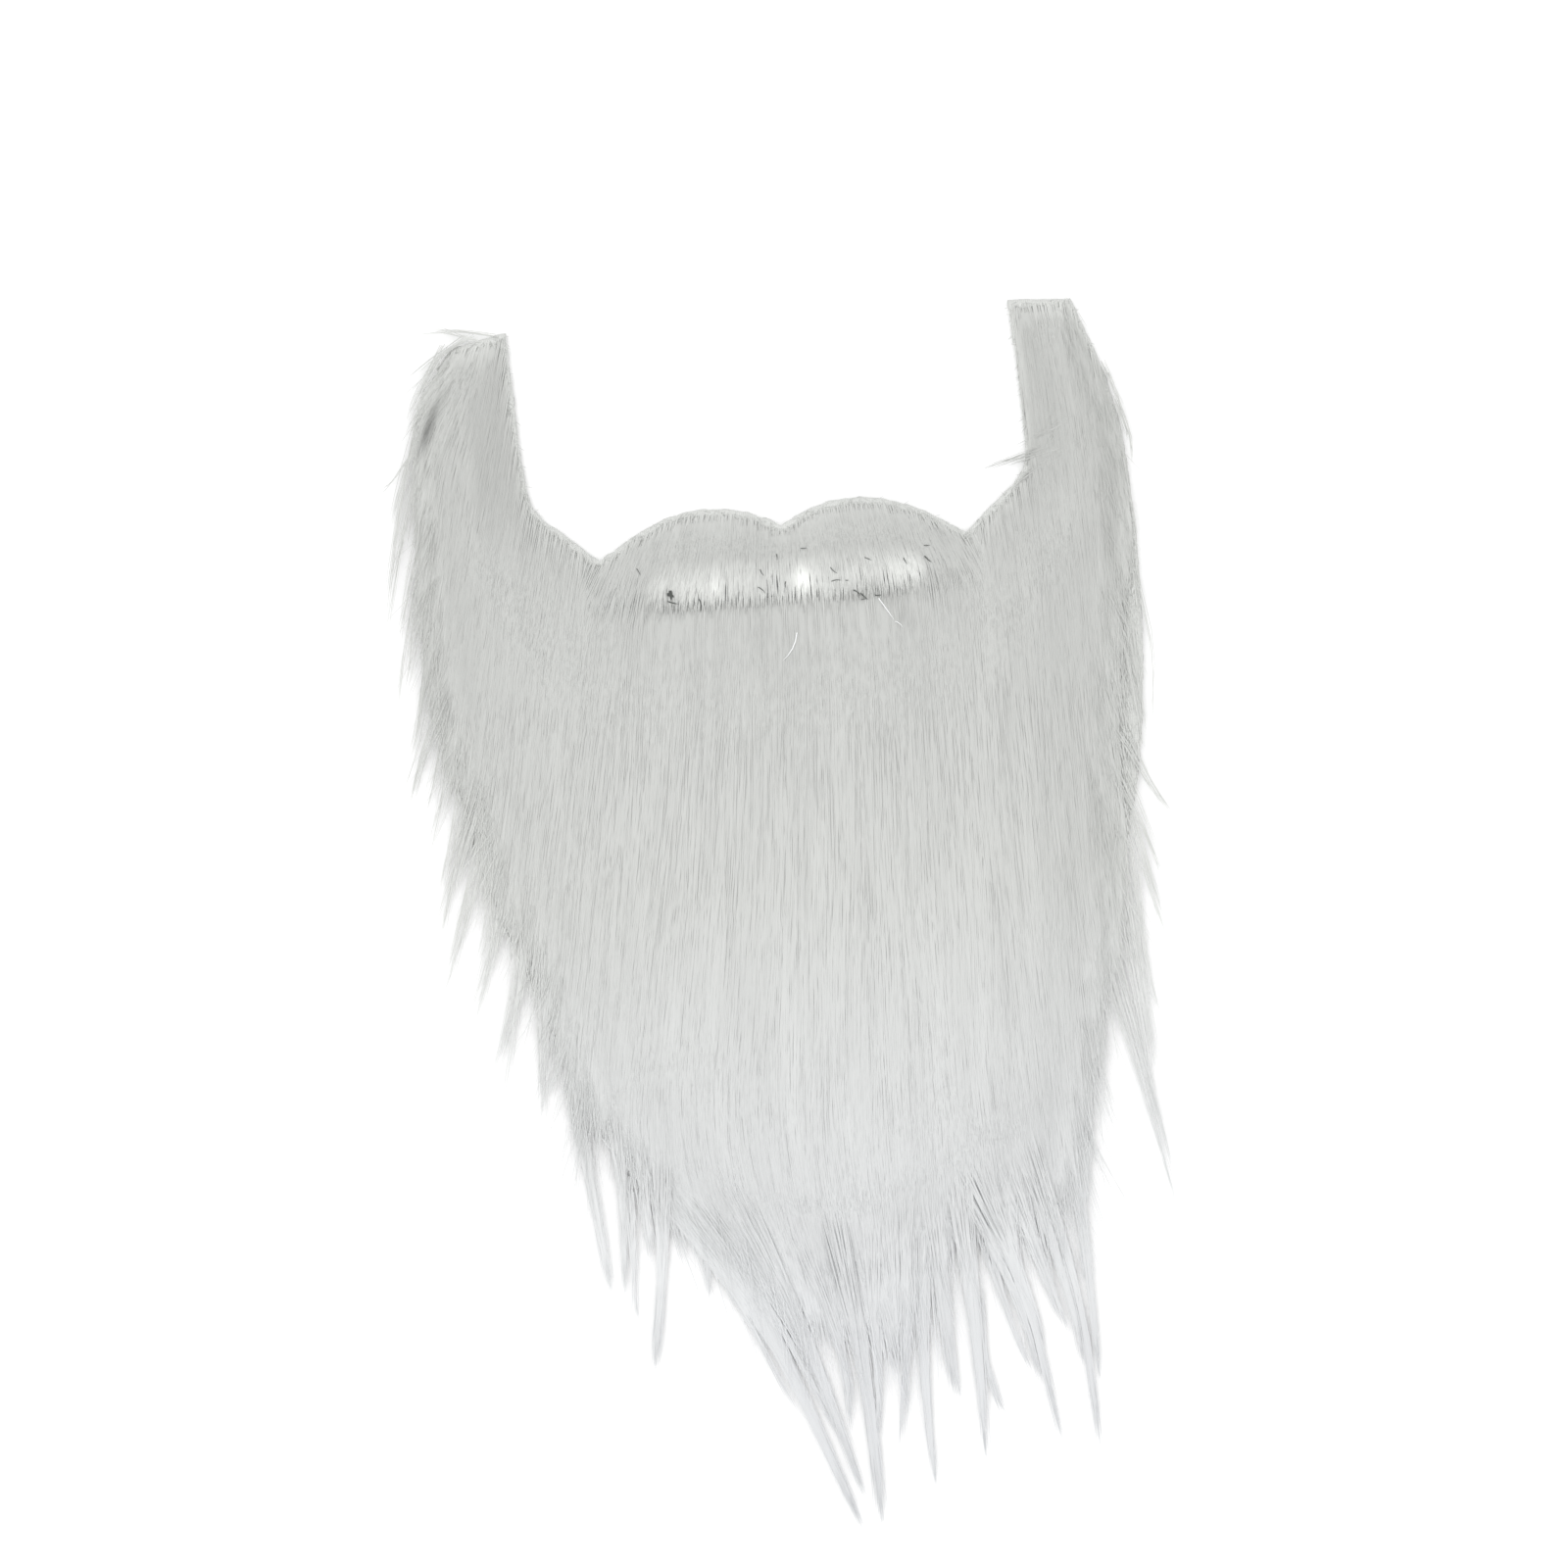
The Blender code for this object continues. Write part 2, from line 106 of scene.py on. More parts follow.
furEdge = [   # x, y
    (-84, 66), (-91, 64), (-95, 60), (-98, 54), (-101, 44), (-103, 23), (-105, 5), (-105, -20),
    (-104, -38), (-99, -60), (-94, -70), (-92, -90), (-87, -102), (-80, -112), (-77, -130),
    (-73, -142), (-70, -160), (-62, -164), (-52, -178), (-44, -187), (-35, -195), (-26, -205),
    (-17, -216), (-8, -222), (3, -224), (14, -225), (20, -219), (24, -211), (30, -205), (39, -198),
    (51, -199), (60, -197), (69, -191), (72, -182), (75, -165), (79, -148), (81, -132), (86, -129),
    (87, -116), (90, -98), (90, -68), (92, -50), (94, -27), (98, -8), (98, 26), (96, 38),
    (93, 50), (88, 64), (86, 66),
]

fieldGrid = {"low": (-126.0, -296.0), "high": (126.0, 84.0), "step": 1.0}

leftArmLies = {"from": 18.0, "to": 65.0, "out": 4.5, "up": 2.2}   # it lies a little splayed
tuckedCorner = {"at": (-93.0, 67.0), "reach": 8.0, "in": (2.6, -2.8)}

opening = {               # the open face between the arms
    "rimFrom": -85.0,     # the cut is trimmed bare from the left arm's end
    "rimTo": 93.0,        # to the right one's
    "rimAbove": -2.0,     # and no lower than this
    "gapAbove": -6.0,     # past the cut, and inside these, the face would show
    "gapHalf": 90.0,
    "armTop": 60.0,       # above here the fur's edge crosses the gap
    "armInside": 84.0,
}


def clothLoops():
    # the backing's own cut, followed round the open edges of its underside
    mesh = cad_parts["backing_cloth"].data
    uses = {}
    for face in mesh.polygons:
        if face.normal.z > -0.9:
            continue
        corners = [tuple(round(c / mm, 3) for c in mesh.vertices[v].co[:2]) for v in face.vertices]
        for a, b in zip(corners, corners[1:] + corners[:1]):
            side = (min(a, b), max(a, b))
            uses[side] = uses.get(side, 0) + 1
    near = {}
    for (a, b), times in uses.items():
        if times == 1:
            near.setdefault(a, []).append(b)
            near.setdefault(b, []).append(a)
    loops = []
    while near:
        start = min(near)
        loop, before = [start], None
        while True:
            ahead = [p for p in near[loop[-1]] if p != before]
            before = loop[-1]
            if not ahead or ahead[0] == start:
                break
            loop.append(ahead[0])
        for p in loop:
            near.pop(p)
        loops.append(np.array(loop))
    loops.sort(key=len, reverse=True)
    return asLaid(loops[0]), loops[1]


def asLaid(points):
    # the left arm splayed, with its outer corner folded in
    arm = leftArmLies
    share = np.clip((points[:, 1] - arm["from"]) / (arm["to"] - arm["from"]), 0, 1.1)
    share = share * (points[:, 0] < 0)
    points = points + np.stack([-arm["out"] * share, arm["up"] * share], 1)
    away = np.hypot(*(points - tuckedCorner["at"]).T)
    return points + np.clip(1 - away / tuckedCorner["reach"], 0, 1)[:, None] * tuckedCorner["in"]


def resample(loop, step):
    points = []
    for a, b in zip(loop, np.roll(loop, -1, axis=0)):
        pieces = max(1, round(float(np.hypot(*(b - a))) / step))
        points += [a + (b - a) * k / pieces for k in range(pieces)]
    return np.array(points)


def insideLoop(loop, points):
    result = np.zeros(len(points), bool)
    for a, b in zip(loop, np.roll(loop, -1, axis=0)):
        if a[1] == b[1]:
            continue
        spans = (a[1] > points[:, 1]) != (b[1] > points[:, 1])
        crossing = a[0] + (points[:, 1] - a[1]) * (b[0] - a[0]) / (b[1] - a[1])
        result ^= spans & (points[:, 0] < crossing)
    return result


def distanceTo(cloud, points, chunk=6000):
    result = np.empty(len(points))
    for k in range(0, len(points), chunk):
        part = points[k:k + chunk]
        square = ((part[:, None, :] - cloud[None, :, :]) ** 2).sum(-1)
        result[k:k + chunk] = np.sqrt(square.min(1))
    return result


def longEdge(step, beside):
    # the fur's edge without its stretch across the face
    line = resample(np.array(furEdge, float), step)
    return line[(np.abs(line[:, 0]) > opening["armInside"] + beside) | (line[:, 1] < opening["armTop"])]


def gridPoints():
    (x0, y0), (x1, y1), step = fieldGrid["low"], fieldGrid["high"], fieldGrid["step"]
    across, up = np.meshgrid(np.arange(x0, x1 + step, step), np.arange(y0, y1 + step, step))
    return np.stack([across.ravel(), up.ravel()], 1), across.shape


def sample(values, points):
    # bilinear look-up in a field over the grid
    (x0, y0), step = fieldGrid["low"], fieldGrid["step"]
    u = np.clip((points[..., 0] - x0) / step, 0, values.shape[1] - 1.001)
    v = np.clip((points[..., 1] - y0) / step, 0, values.shape[0] - 1.001)
    i, j = u.astype(int), v.astype(int)
    u, v = u - i, v - j
    low = values[j, i] * (1 - u) + values[j, i + 1] * u
    high = values[j + 1, i] * (1 - u) + values[j + 1, i + 1] * u
    return low * (1 - v) + high * v


def soften(values, passes=24):
    for _ in range(passes):
        shifted = [np.roll(values, move, axis) for move in (-1, 1) for axis in (0, 1)]
        values = (values + sum(shifted)) / 5
    return values


def smooth(low, high, value):
    t = np.clip((value - low) / (high - low), 0, 1)
    return t * t * (3 - 2 * t)


# the laid pile: how thick it is and how far the fur reaches, as fields over the grid

pile = {
    "rimBare": 1.4,      # trimmed rim of cloth along the upper cuts
    "rimHeight": 2.6,    # at the cloth's edges
    "edgeHeight": 1.3,   # where it lies on the floor
    "fullHeight": 15.3,
    "lipThinner": 0.35,  # the lip's hair is this much thinner
    "hemThinner": 0.5,   # and the hem's
    "ramp": 40.0,        # from the rim to the full height
    "riseLength": 5.0,   # how soon the hair stands up from the rim
    "slitLead": 7.0,     # at the mouth slit it has already risen this far
    "felt": 0.09,        # how far the felted underfur lies below the hair
    "loose": 0.12,       # and how unevenly the top hairs lie
    "sunk": 0.3,         # roots start this far down in the underfur
    "emerge": 3.0,       # and come out of it over about this length
    "floorHeight": 0.9,
    "least": 0.25,       # no hair lies lower than this
    "droop": 16.0,       # from the fur's edge to where the hair lies on the floor
    "overFloor": 0.55,   # how much of the way past the cloth counts towards that
    "edgeFades": 10.0,   # the rim's height has become the edge's this far past the cloth
    "clothTop": 1.6,
    "clothFades": 14.0,
    "lipFades": ((-22, -10), (62, 46)),   # y and x between which the lip's pile begins
    "hemFades": (-140, -215),
    "rootsOnRim": 0.6,   # the first hairs root this far out on the trimmed rim
}


def makeFields(cut, slit):
    points, shape = gridPoints()
    cutLine, slitLine = resample(cut, 1.0), resample(slit, 1.0)
    inCut, inSlit = insideLoop(cut, points), insideLoop(slit, points)
    toCut, toSlit = distanceTo(cutLine, points), distanceTo(slitLine, points)
    clothDepth = np.where(inCut & ~inSlit, 1, -1) * np.minimum(toCut, toSlit)

    # the upper cuts are trimmed bare: arm ends, inner edges and the lip's two lobes
    trimmed = (cutLine[:, 0] > opening["rimFrom"]) & (cutLine[:, 0] < opening["rimTo"])
    rimLine = cutLine[trimmed & (cutLine[:, 1] > opening["rimAbove"])]
    toRim = distanceTo(rimLine, points)
    faceGap = ~inCut & (points[:, 1] > opening["gapAbove"]) & (np.abs(points[:, 0]) < opening["gapHalf"])
    toRim = np.where(faceGap, -toRim, toRim)
    betweenArms = (points[:, 1] > opening["armTop"]) & (np.abs(points[:, 0]) < opening["armInside"])
    inFur = insideLoop(np.array(furEdge, float), points) | betweenArms
    edgeDepth = np.where(inFur, 1, -1) * distanceTo(longEdge(1.0, -1.0), points)
    furDepth = np.minimum(edgeDepth, toRim - pile["rimBare"])

    # the pile is thin at every edge, which the slit's is too
    thin = np.minimum(furDepth, np.where(inSlit, -toSlit, toSlit))
    ease = np.sin(np.clip(thin / pile["ramp"], 0, 1) * math.pi / 2)
    past = np.where(inCut, 0, toCut)
    onCloth = 1 - smooth(0, pile["edgeFades"], past)
    lowest = pile["edgeHeight"] + (pile["rimHeight"] - pile["edgeHeight"]) * onCloth
    lipUp, lipAcross = pile["lipFades"]
    lip = smooth(*lipUp, points[:, 1]) * smooth(*lipAcross, np.abs(points[:, 0]))
    hem = smooth(*pile["hemFades"], points[:, 1])
    thinner = 1 - pile["lipThinner"] * lip - pile["hemThinner"] * hem
    height = lowest + (pile["fullHeight"] - lowest) * ease * thinner
    fall = smooth(0, pile["droop"], past * pile["overFloor"] + np.clip(-furDepth, 0, None))
    height = height * (1 - fall) + pile["floorHeight"] * fall
    height = soften(height.reshape(shape)).ravel()
    ground = pile["clothTop"] * (1 - smooth(0, pile["clothFades"], past)) + pile["least"]
    risen = np.minimum(np.abs(toRim), toSlit + pile["slitLead"]) / pile["riseLength"]
    surface = ground + (height - ground) * (1 - np.exp(-risen))
    upstream = np.minimum(np.abs(toRim), toSlit)

    fields = {"cloth": clothDepth, "fur": furDepth, "rim": toRim, "upstream": upstream,
              "surface": surface, "past": past, "outer": edgeDepth}
    return {name: values.reshape(shape) for name, values in fields.items()}


# combing: which way the hair lies, how long it is, and how it parts into locks

comb = {
    "lean": -4.6,          # degrees from straight down, plus is to the right
    "splay": 0.105,        # degrees for each mm from the middle
    "hemFrom": -135.0,     # below here the hair is swept together to the right
    "hemTo": -200.0,
    "hemAcross": [-105, -72, -60, -42, -12, 18, 36, 52, 72, 100],
    "hemLean": [-15, -2, 2, 20, 11, 2, 2, 9, 2, 11],
    "lipSplay": 0.5,       # degrees for each mm over the lip
    "wander": 2.6,         # broad waves in the combing
    "stray": 2.0,          # each hair's own
    "lipLean": 0.5,        # the share of the lean that the lip's hair keeps
    "lipHalf": 56.0,
    "lipFades": (-16, -4),
    "shoulder": -24.0,     # the top of the left arm is brushed outwards
    "shoulderFades": ((-78, -96), (20, 56)),   # x and y between which it begins
    "lockAlong": 0.6,      # distances along a lock count this much
    "lengthAt": [-187, -120, -60, -14, 15, 65],
    "length": [84, 68, 58, 44, 34, 26],
    "rootsFrom": (-112, -196),
    "rootsTo": (112, 74),
}

# pace, direction and start of each broad wave
waves = [(rng.uniform(0.012, 0.06), rng.uniform(0, math.tau), rng.uniform(0, math.tau)) for _ in range(7)]


def wander(points):
    # slow, even waves, mostly between -1 and 1
    total = 0
    for pace, turn, start in waves:
        along = points[..., 0] * math.cos(turn) + points[..., 1] * 0.4 * math.sin(turn)
        total = total + np.sin(pace * along + start)
    return total / 3.0


def combLean(points):
    x, y = points[..., 0], points[..., 1]
    lean = comb["lean"] + comb["splay"] * x + comb["wander"] * wander(points)
    shoulderOut, shoulderUp = comb["shoulderFades"]
    lean = lean + comb["shoulder"] * smooth(*shoulderOut, x) * smooth(*shoulderUp, y)
    hem = smooth(comb["hemFrom"], comb["hemTo"], y)
    lean = lean * (1 - hem) + np.interp(x, comb["hemAcross"], comb["hemLean"]) * hem
    lip = smooth(*comb["lipFades"], y) * (np.abs(x) < comb["lipHalf"])
    return lean * (1 - lip) + (comb["lean"] * comb["lipLean"] + comb["lipSplay"] * x) * lip


def growPaths(roots, lengths, leans, steps=12):
    # each hair's way over the ground, in equal steps
    path = np.empty((len(roots), steps + 1, 2))
    place = roots.astype(float).copy()
    for k in range(steps + 1):
        path[:, k] = place
        angle = np.radians(combLean(place) + leans)
        place = place + np.stack([np.sin(angle), -np.cos(angle)], 1) * (lengths / steps)[:, None]
    return path


def gatherLocks(paths, lockSize, strength, power=1.6, chunk=4000):
    # draws hairs towards the middle of their lock as they near their tips, and tells each one's lock
    roots = paths[:, 0]
    wanted = max(2, int(np.ptp(roots[:, 0]) * np.ptp(roots[:, 1]) / lockSize**2))
    seeds = roots[rng.choice(len(roots), min(wanted, len(roots)), replace=False)]
    lock = np.empty(len(roots), int)
    for k in range(0, len(roots), chunk):
        away = (roots[k:k + chunk, None] - seeds[None]) * (1.0, comb["lockAlong"])
        lock[k:k + chunk] = (away ** 2).sum(-1).argmin(1)
    size = np.maximum(np.bincount(lock, minlength=len(seeds)), 1)[:, None]
    share = np.linspace(0, 1, paths.shape[1]) ** power
    for axis in (0, 1):
        total = np.zeros((len(seeds), paths.shape[1]))
        np.add.at(total, lock, paths[:, :, axis])
        middle = (total / size)[lock]
        paths[:, :, axis] += (middle - paths[:, :, axis]) * share * strength[:, None]
    return lock, len(seeds)


def pickRoots(count, test):
    # evenly scattered places that pass the test
    found = []
    while sum(map(len, found)) < count:
        tries = rng.uniform(comb["rootsFrom"], comb["rootsTo"], (count * 2, 2))
        found.append(tries[test(tries)])
    return np.concatenate(found)[:count]


def canRoot(points, margin, fields):
    # on the cloth, inside its edges by the margin and not too far out on the trimmed rim
    onRim = sample(fields["rim"], points) <= pile["rimBare"] - pile["rootsOnRim"]
    return (sample(fields["cloth"], points) > margin) & ~onRim


def ringsAlong(path, start, end, rings):
    # points at even shares between start and end of each path
    steps = path.shape[1] - 1
    at = (start[:, None] + (end - start)[:, None] * np.linspace(0, 1, rings)) * steps
    low = np.clip(at.astype(int), 0, steps - 1)
    part = (at - low)[..., None]
    row = np.arange(len(path))[:, None]
    return path[row, low] * (1 - part) + path[row, low + 1] * part, at / steps


def trimAtEdge(path, allowance, fields):
    # the share of each path that stays within reach of the fur's edge
    steps = path.shape[1] - 1
    depth = sample(fields["fur"], path)
    over = -depth > allowance[:, None]
    over[:, :2] = False
    first = np.maximum(over.argmax(1), 1)
    row = np.arange(len(path))
    before, after = depth[row, first - 1] + allowance, depth[row, first] + allowance
    part = np.clip(before / np.maximum(before - after, 0.01), 0, 1)
    return np.where(over.any(1), (first - 1 + part) / steps, 1.0)


def layHairs(path, lengths, start, end, rings, above, fields):
    # rings along each path on the pile's surface, each hair rising out of it at its root
    flat, along = ringsAlong(path, start, end, rings)
    run = (along - start[:, None]) * lengths[:, None]
    z = sample(fields["surface"], flat) + above[:, None] - pile["sunk"] * np.exp(-run / pile["emerge"])
    return np.concatenate([flat, np.maximum(z, pile["least"])[..., None]], -1), along


# painted shade in partings and hollows, where the fur's colour is made darker

paintedHollows = [   # x, y, long, wide, lean, depth of the painted shade
    (-98, 41, 6.5, 1.5, -22, 0.55),
    (71, 31, 8.0, 1.2, 2, 0.16),
    (-99, -36, 5.0, 1.2, -6, 0.12),
    (31, -20, 7.5, 2.2, 38, 0.12),
    (-32, -13, 3.0, 2.0, 15, 0.22),
    (-3, -198, 7.0, 1.6, 8, 0.07),
    (6, -200, 6.0, 1.3, 10, 0.05),
    (-60, -119, 5.0, 1.8, 0, 0.07),
    (20, -15, 3.0, 2.4, 20, 0.10),
    (-7, -10, 3.5, 1.4, 0, 0.08),
    (0, -28, 13.0, 45.0, 0, 0.045),
]


def paintedHollowShade(points):
    # painted shade: one less the darkening of every hollow
    shade = np.ones(points.shape[:-1])
    for x, y, long, wide, lean, depth in paintedHollows:
        turn = math.radians(lean)
        dx, dy = points[..., 0] - x, points[..., 1] - y
        down, side = dx * math.sin(turn) - dy * math.cos(turn), dx * math.cos(turn) + dy * math.sin(turn)
        shade -= depth * np.exp(-((down / long) ** 2) - (side / wide) ** 2)
    return shade


# random tone from hair to hair, with painted shade at the root and painted light at edges and rims
hairShade = {
    "root": 0.98,              # painted shade at the root
    "spread": 0.03,            # from hair to hair
    "edge": 0.22,              # painted light added where thin hair past the felt lets the light through
    "edgeFades": (-2, 12),     # how far inside the edge
    "hemEdge": 0.4,            # the share of it that the hem's thick locks get
    "hemFades": (-190, -120),
    "rim": 0.2,                # painted light added along the trimmed rims and the slit, against the shade there
    "rimFades": (3.5, 0.5),
}


def edgeLight(points, fields):
    # painted light past the felt's edge, and along the trimmed rims and the slit
    past = 1 - smooth(*hairShade["edgeFades"], sample(fields["outer"], points))
    aboveHem = smooth(*hairShade["hemFades"], points[..., 1])
    light = hairShade["edge"] * past * (hairShade["hemEdge"] + (1 - hairShade["hemEdge"]) * aboveHem)
    nearRim = smooth(*hairShade["rimFades"], sample(fields["upstream"], points))
    return 1 + light + hairShade["rim"] * nearRim


# meshes

def meshFromArrays(name, points, quads, triangles, material, shade=None, rounded=True):
    global triangleTotal
    mesh = bpy.data.meshes.new(name)
    mesh.vertices.add(len(points))
    mesh.vertices.foreach_set("co", (np.asarray(points) * mm).astype(np.float32).ravel())
    corners = np.concatenate([np.asarray(quads, int).ravel(), np.asarray(triangles, int).ravel()])
    starts = np.concatenate([np.arange(len(quads)) * 4, len(quads) * 4 + np.arange(len(triangles)) * 3])
    mesh.loops.add(len(corners))
    mesh.loops.foreach_set("vertex_index", corners.astype(np.int32))
    mesh.polygons.add(len(starts))
    mesh.polygons.foreach_set("loop_start", starts.astype(np.int32))
    mesh.polygons.foreach_set("use_smooth", np.ones(len(starts), bool) & rounded)
    mesh.update(calc_edges=True)
    if shade is not None:
        layer = mesh.attributes.new("shade", "FLOAT", "POINT")
        layer.data.foreach_set("value", shade.astype(np.float32))
    mesh.materials.append(material)
    piece = bpy.data.objects.new(name, mesh)
    bpy.context.scene.collection.objects.link(piece)
    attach(piece, "root")
    triangles = len(quads) * 2 + len(triangles)
    triangleTotal += triangles
    print(f"  {name}: {triangles} triangles")
    return piece


# a shallow ridge over a flat underside, in shares of the half width, and how many degrees hairs roll
hairSection = {"ridge": 0.11, "under": -0.06, "roll": 3.5}


def taperLine(rings, tip=0.35, full=0.4):
    # full width up to a share of the length, then down to the tip's
    t = np.linspace(0, 1, rings)
    return np.where(t < full, 1.0, 1 - (1 - tip) * (t - full) / (1 - full))[None, :]


def hairMesh(name, lines, radius, along, material, taper=None, tint=1.0):
    # slim tapering blades along lines of shape (hairs, rings, 3), closed at both ends
    hairs, rings = lines.shape[:2]
    taper = taperLine(rings) if taper is None else taper
    body = rings - 1    # the last ring is the tip's one point
    ahead = np.gradient(lines, axis=1)
    ahead /= np.maximum(np.linalg.norm(ahead, axis=-1, keepdims=True), 1e-9)
    side = np.cross(ahead, (0.0, 0.0, 1.0))
    side /= np.maximum(np.linalg.norm(side, axis=-1, keepdims=True), 1e-9)
    over = np.cross(side, ahead)
    roll = np.radians(rng.normal(0, hairSection["roll"], (hairs, 1, 1)))
    side, over = side * np.cos(roll) + over * np.sin(roll), over * np.cos(roll) - side * np.sin(roll)
    section = [(-1.0, hairSection["under"]), (1.0, hairSection["under"]), (0.0, hairSection["ridge"])]
    wide = (radius[:, None] * taper)[..., None]
    points = np.empty((hairs, body * 3 + 1, 3))
    for k, (across, up) in enumerate(section):
        points[:, k:body * 3:3] = (lines + (side * across + over * up) * wide)[:, :body]
    points[:, -1] = lines[:, -1]

    ring = np.arange(body - 1)[:, None] * 3
    k = np.arange(3)
    after = (k + 1) % 3
    quads = np.stack([ring + k, ring + 3 + k, ring + 3 + after, ring + after], -1).reshape(-1, 4)
    last = (body - 1) * 3
    ends = np.array([(last + i, body * 3, last + (i + 1) % 3) for i in range(3)] + [(0, 1, 2)])
    step = (np.arange(hairs) * (body * 3 + 1))[:, None, None]

    # the shade attribute: random tone from hair to hair, painted shade at the root and in hollows, and
    # painted light from the tint
    tone = 1 + hairShade["spread"] * (rng.random((hairs, 1)) - 0.5)
    paintedRootShade = hairShade["root"] + (1 - hairShade["root"]) * along
    shade = tint * tone * paintedRootShade * paintedHollowShade(lines)
    shade = np.concatenate([np.repeat(shade[:, :body], 3, axis=1), shade[:, -1:]], 1)
    return meshFromArrays(name, points.reshape(-1, 3), (quads + step).reshape(-1, 4),
                          (ends + step).reshape(-1, 3), material, shade.ravel(), False)


# finishes

furColourAndShade = {
    "upper": (0.477, 0.484, 0.468),   # cheeks and lip, a warm pale grey darkened by painted shade
    "middle": (0.548, 0.556, 0.540),
    "hem": (0.678, 0.689, 0.701),     # the ends, lighter by painted light and a little cool
    "middleAt": 0.45,
    "patches": 0.16,                  # how much it varies from lock to lock
    "patchScale": (150, 12, 60),
    "from": 20.0,                     # y of the upper colour
    "to": -240.0,
}


looks = {
    "hair": {"Roughness": 0.5, "Specular IOR Level": 0.3, "Sheen Weight": 0.12, "Sheen Roughness": 0.5},
    "fuzz": {"Roughness": 0.6, "Specular IOR Level": 0.3, "Sheen Weight": 0.12, "Sheen Roughness": 0.5},
    "felt": {"Roughness": 0.7, "Sheen Weight": 0.15},
    "knit": {"Roughness": 0.9, "Sheen Weight": 0.3},
    "thread": {"Roughness": 0.6},
    "paper": {"Roughness": 0.9, "Specular IOR Level": 0.1},
}


def newMaterial(name, look):
    material = bpy.data.materials.new(name)
    material.use_nodes = True
    tree = material.node_tree
    shader = tree.nodes["Principled BSDF"]
    for socket, value in looks[look].items():
        shader.inputs[socket].default_value = value
    return material, tree.nodes, tree.links, shader


def mathNode(nodes, links, operation, *values):
    node = nodes.new("ShaderNodeMath")
    node.operation = operation
    for socket, value in zip(node.inputs, values):
        if isinstance(value, (int, float)):
            socket.default_value = value
        else:
            links.new(value, socket)
    return node.outputs[0]


def placeNodes(nodes, links):
    # where a point lies, as a whole and split into x, y and z
    place = nodes.new("ShaderNodeTexCoord")
    split = nodes.new("ShaderNodeSeparateXYZ")
    links.new(place.outputs["Object"], split.inputs[0])
    return place, split


def meshShade(nodes):
    shade = nodes.new("ShaderNodeAttribute")
    shade.attribute_name = "shade"
    return shade.outputs["Fac"]


def addBump(nodes, links, shader, height, strength, distance):
    bump = nodes.new("ShaderNodeBump")
    bump.inputs["Strength"].default_value = strength
    bump.inputs["Distance"].default_value = distance * mm
    links.new(height, bump.inputs["Height"])
    links.new(bump.outputs["Normal"], shader.inputs["Normal"])


def furTint(nodes, links):
    # the fur's colour down the beard, darker towards the top by painted shade and lighter towards the hem
    # by painted light
    place, split = placeNodes(nodes, links)
    down = nodes.new("ShaderNodeMapRange")
    down.inputs["From Min"].default_value = furColourAndShade["from"] * mm
    down.inputs["From Max"].default_value = furColourAndShade["to"] * mm
    links.new(split.outputs["Y"], down.inputs["Value"])
    ramp = nodes.new("ShaderNodeValToRGB")
    ramp.color_ramp.elements[0].color = (*furColourAndShade["upper"], 1)
    ramp.color_ramp.elements[1].color = (*furColourAndShade["hem"], 1)
    middle = ramp.color_ramp.elements.new(furColourAndShade["middleAt"])
    middle.color = (*furColourAndShade["middle"], 1)
    links.new(down.outputs["Result"], ramp.inputs["Fac"])
    depth = furColourAndShade["patches"]
    noise = patchNoise(nodes, links, place, furColourAndShade["patchScale"], 2.5)
    patches = mathNode(nodes, links, "MULTIPLY_ADD", noise, depth, 1 - depth / 2)
    return place, shaded(nodes, links, ramp.outputs["Color"], patches)


def patchNoise(nodes, links, place, scale, detail):
    stretch = nodes.new("ShaderNodeMapping")
    stretch.inputs["Scale"].default_value = scale
    links.new(place.outputs["Object"], stretch.inputs["Vector"])
    noise = nodes.new("ShaderNodeTexNoise")
    noise.inputs["Scale"].default_value = 1.0
    noise.inputs["Detail"].default_value = detail
    links.new(stretch.outputs[0], noise.inputs["Vector"])
    return noise.outputs["Fac"]


def shaded(nodes, links, colour, amount):
    scale = nodes.new("ShaderNodeVectorMath")
    scale.operation = "SCALE"
    links.new(colour, scale.inputs[0])
    links.new(amount, scale.inputs["Scale"])
    return scale.outputs[0]


def hairFinish(name, look="hair"):
    # silky synthetic hair, each strand a little lighter or darker, with painted shade and painted light
    # from the shade attribute
    material, nodes, links, shader = newMaterial(name, look)
    _, colour = furTint(nodes, links)
    links.new(shaded(nodes, links, colour, meshShade(nodes)), shader.inputs["Base Color"])
    return material


def underfurFinish(name):
    # felted underfur, with fine streaks along the combing
    material, nodes, links, shader = newMaterial(name, "felt")
    place, colour = furTint(nodes, links)
    depth = underfur["streaks"]
    streaks = patchNoise(nodes, links, place, underfur["streakScale"], 3.0)
    amount = mathNode(nodes, links, "MULTIPLY_ADD", streaks, depth, 1 - depth / 2)
    # times the shade attribute: painted shade in hollows, painted light at edges and rims
    amount = mathNode(nodes, links, "MULTIPLY", amount, meshShade(nodes))
    links.new(shaded(nodes, links, colour, amount), shader.inputs["Base Color"])
    addBump(nodes, links, shader, streaks, *underfur["bump"])
    return material


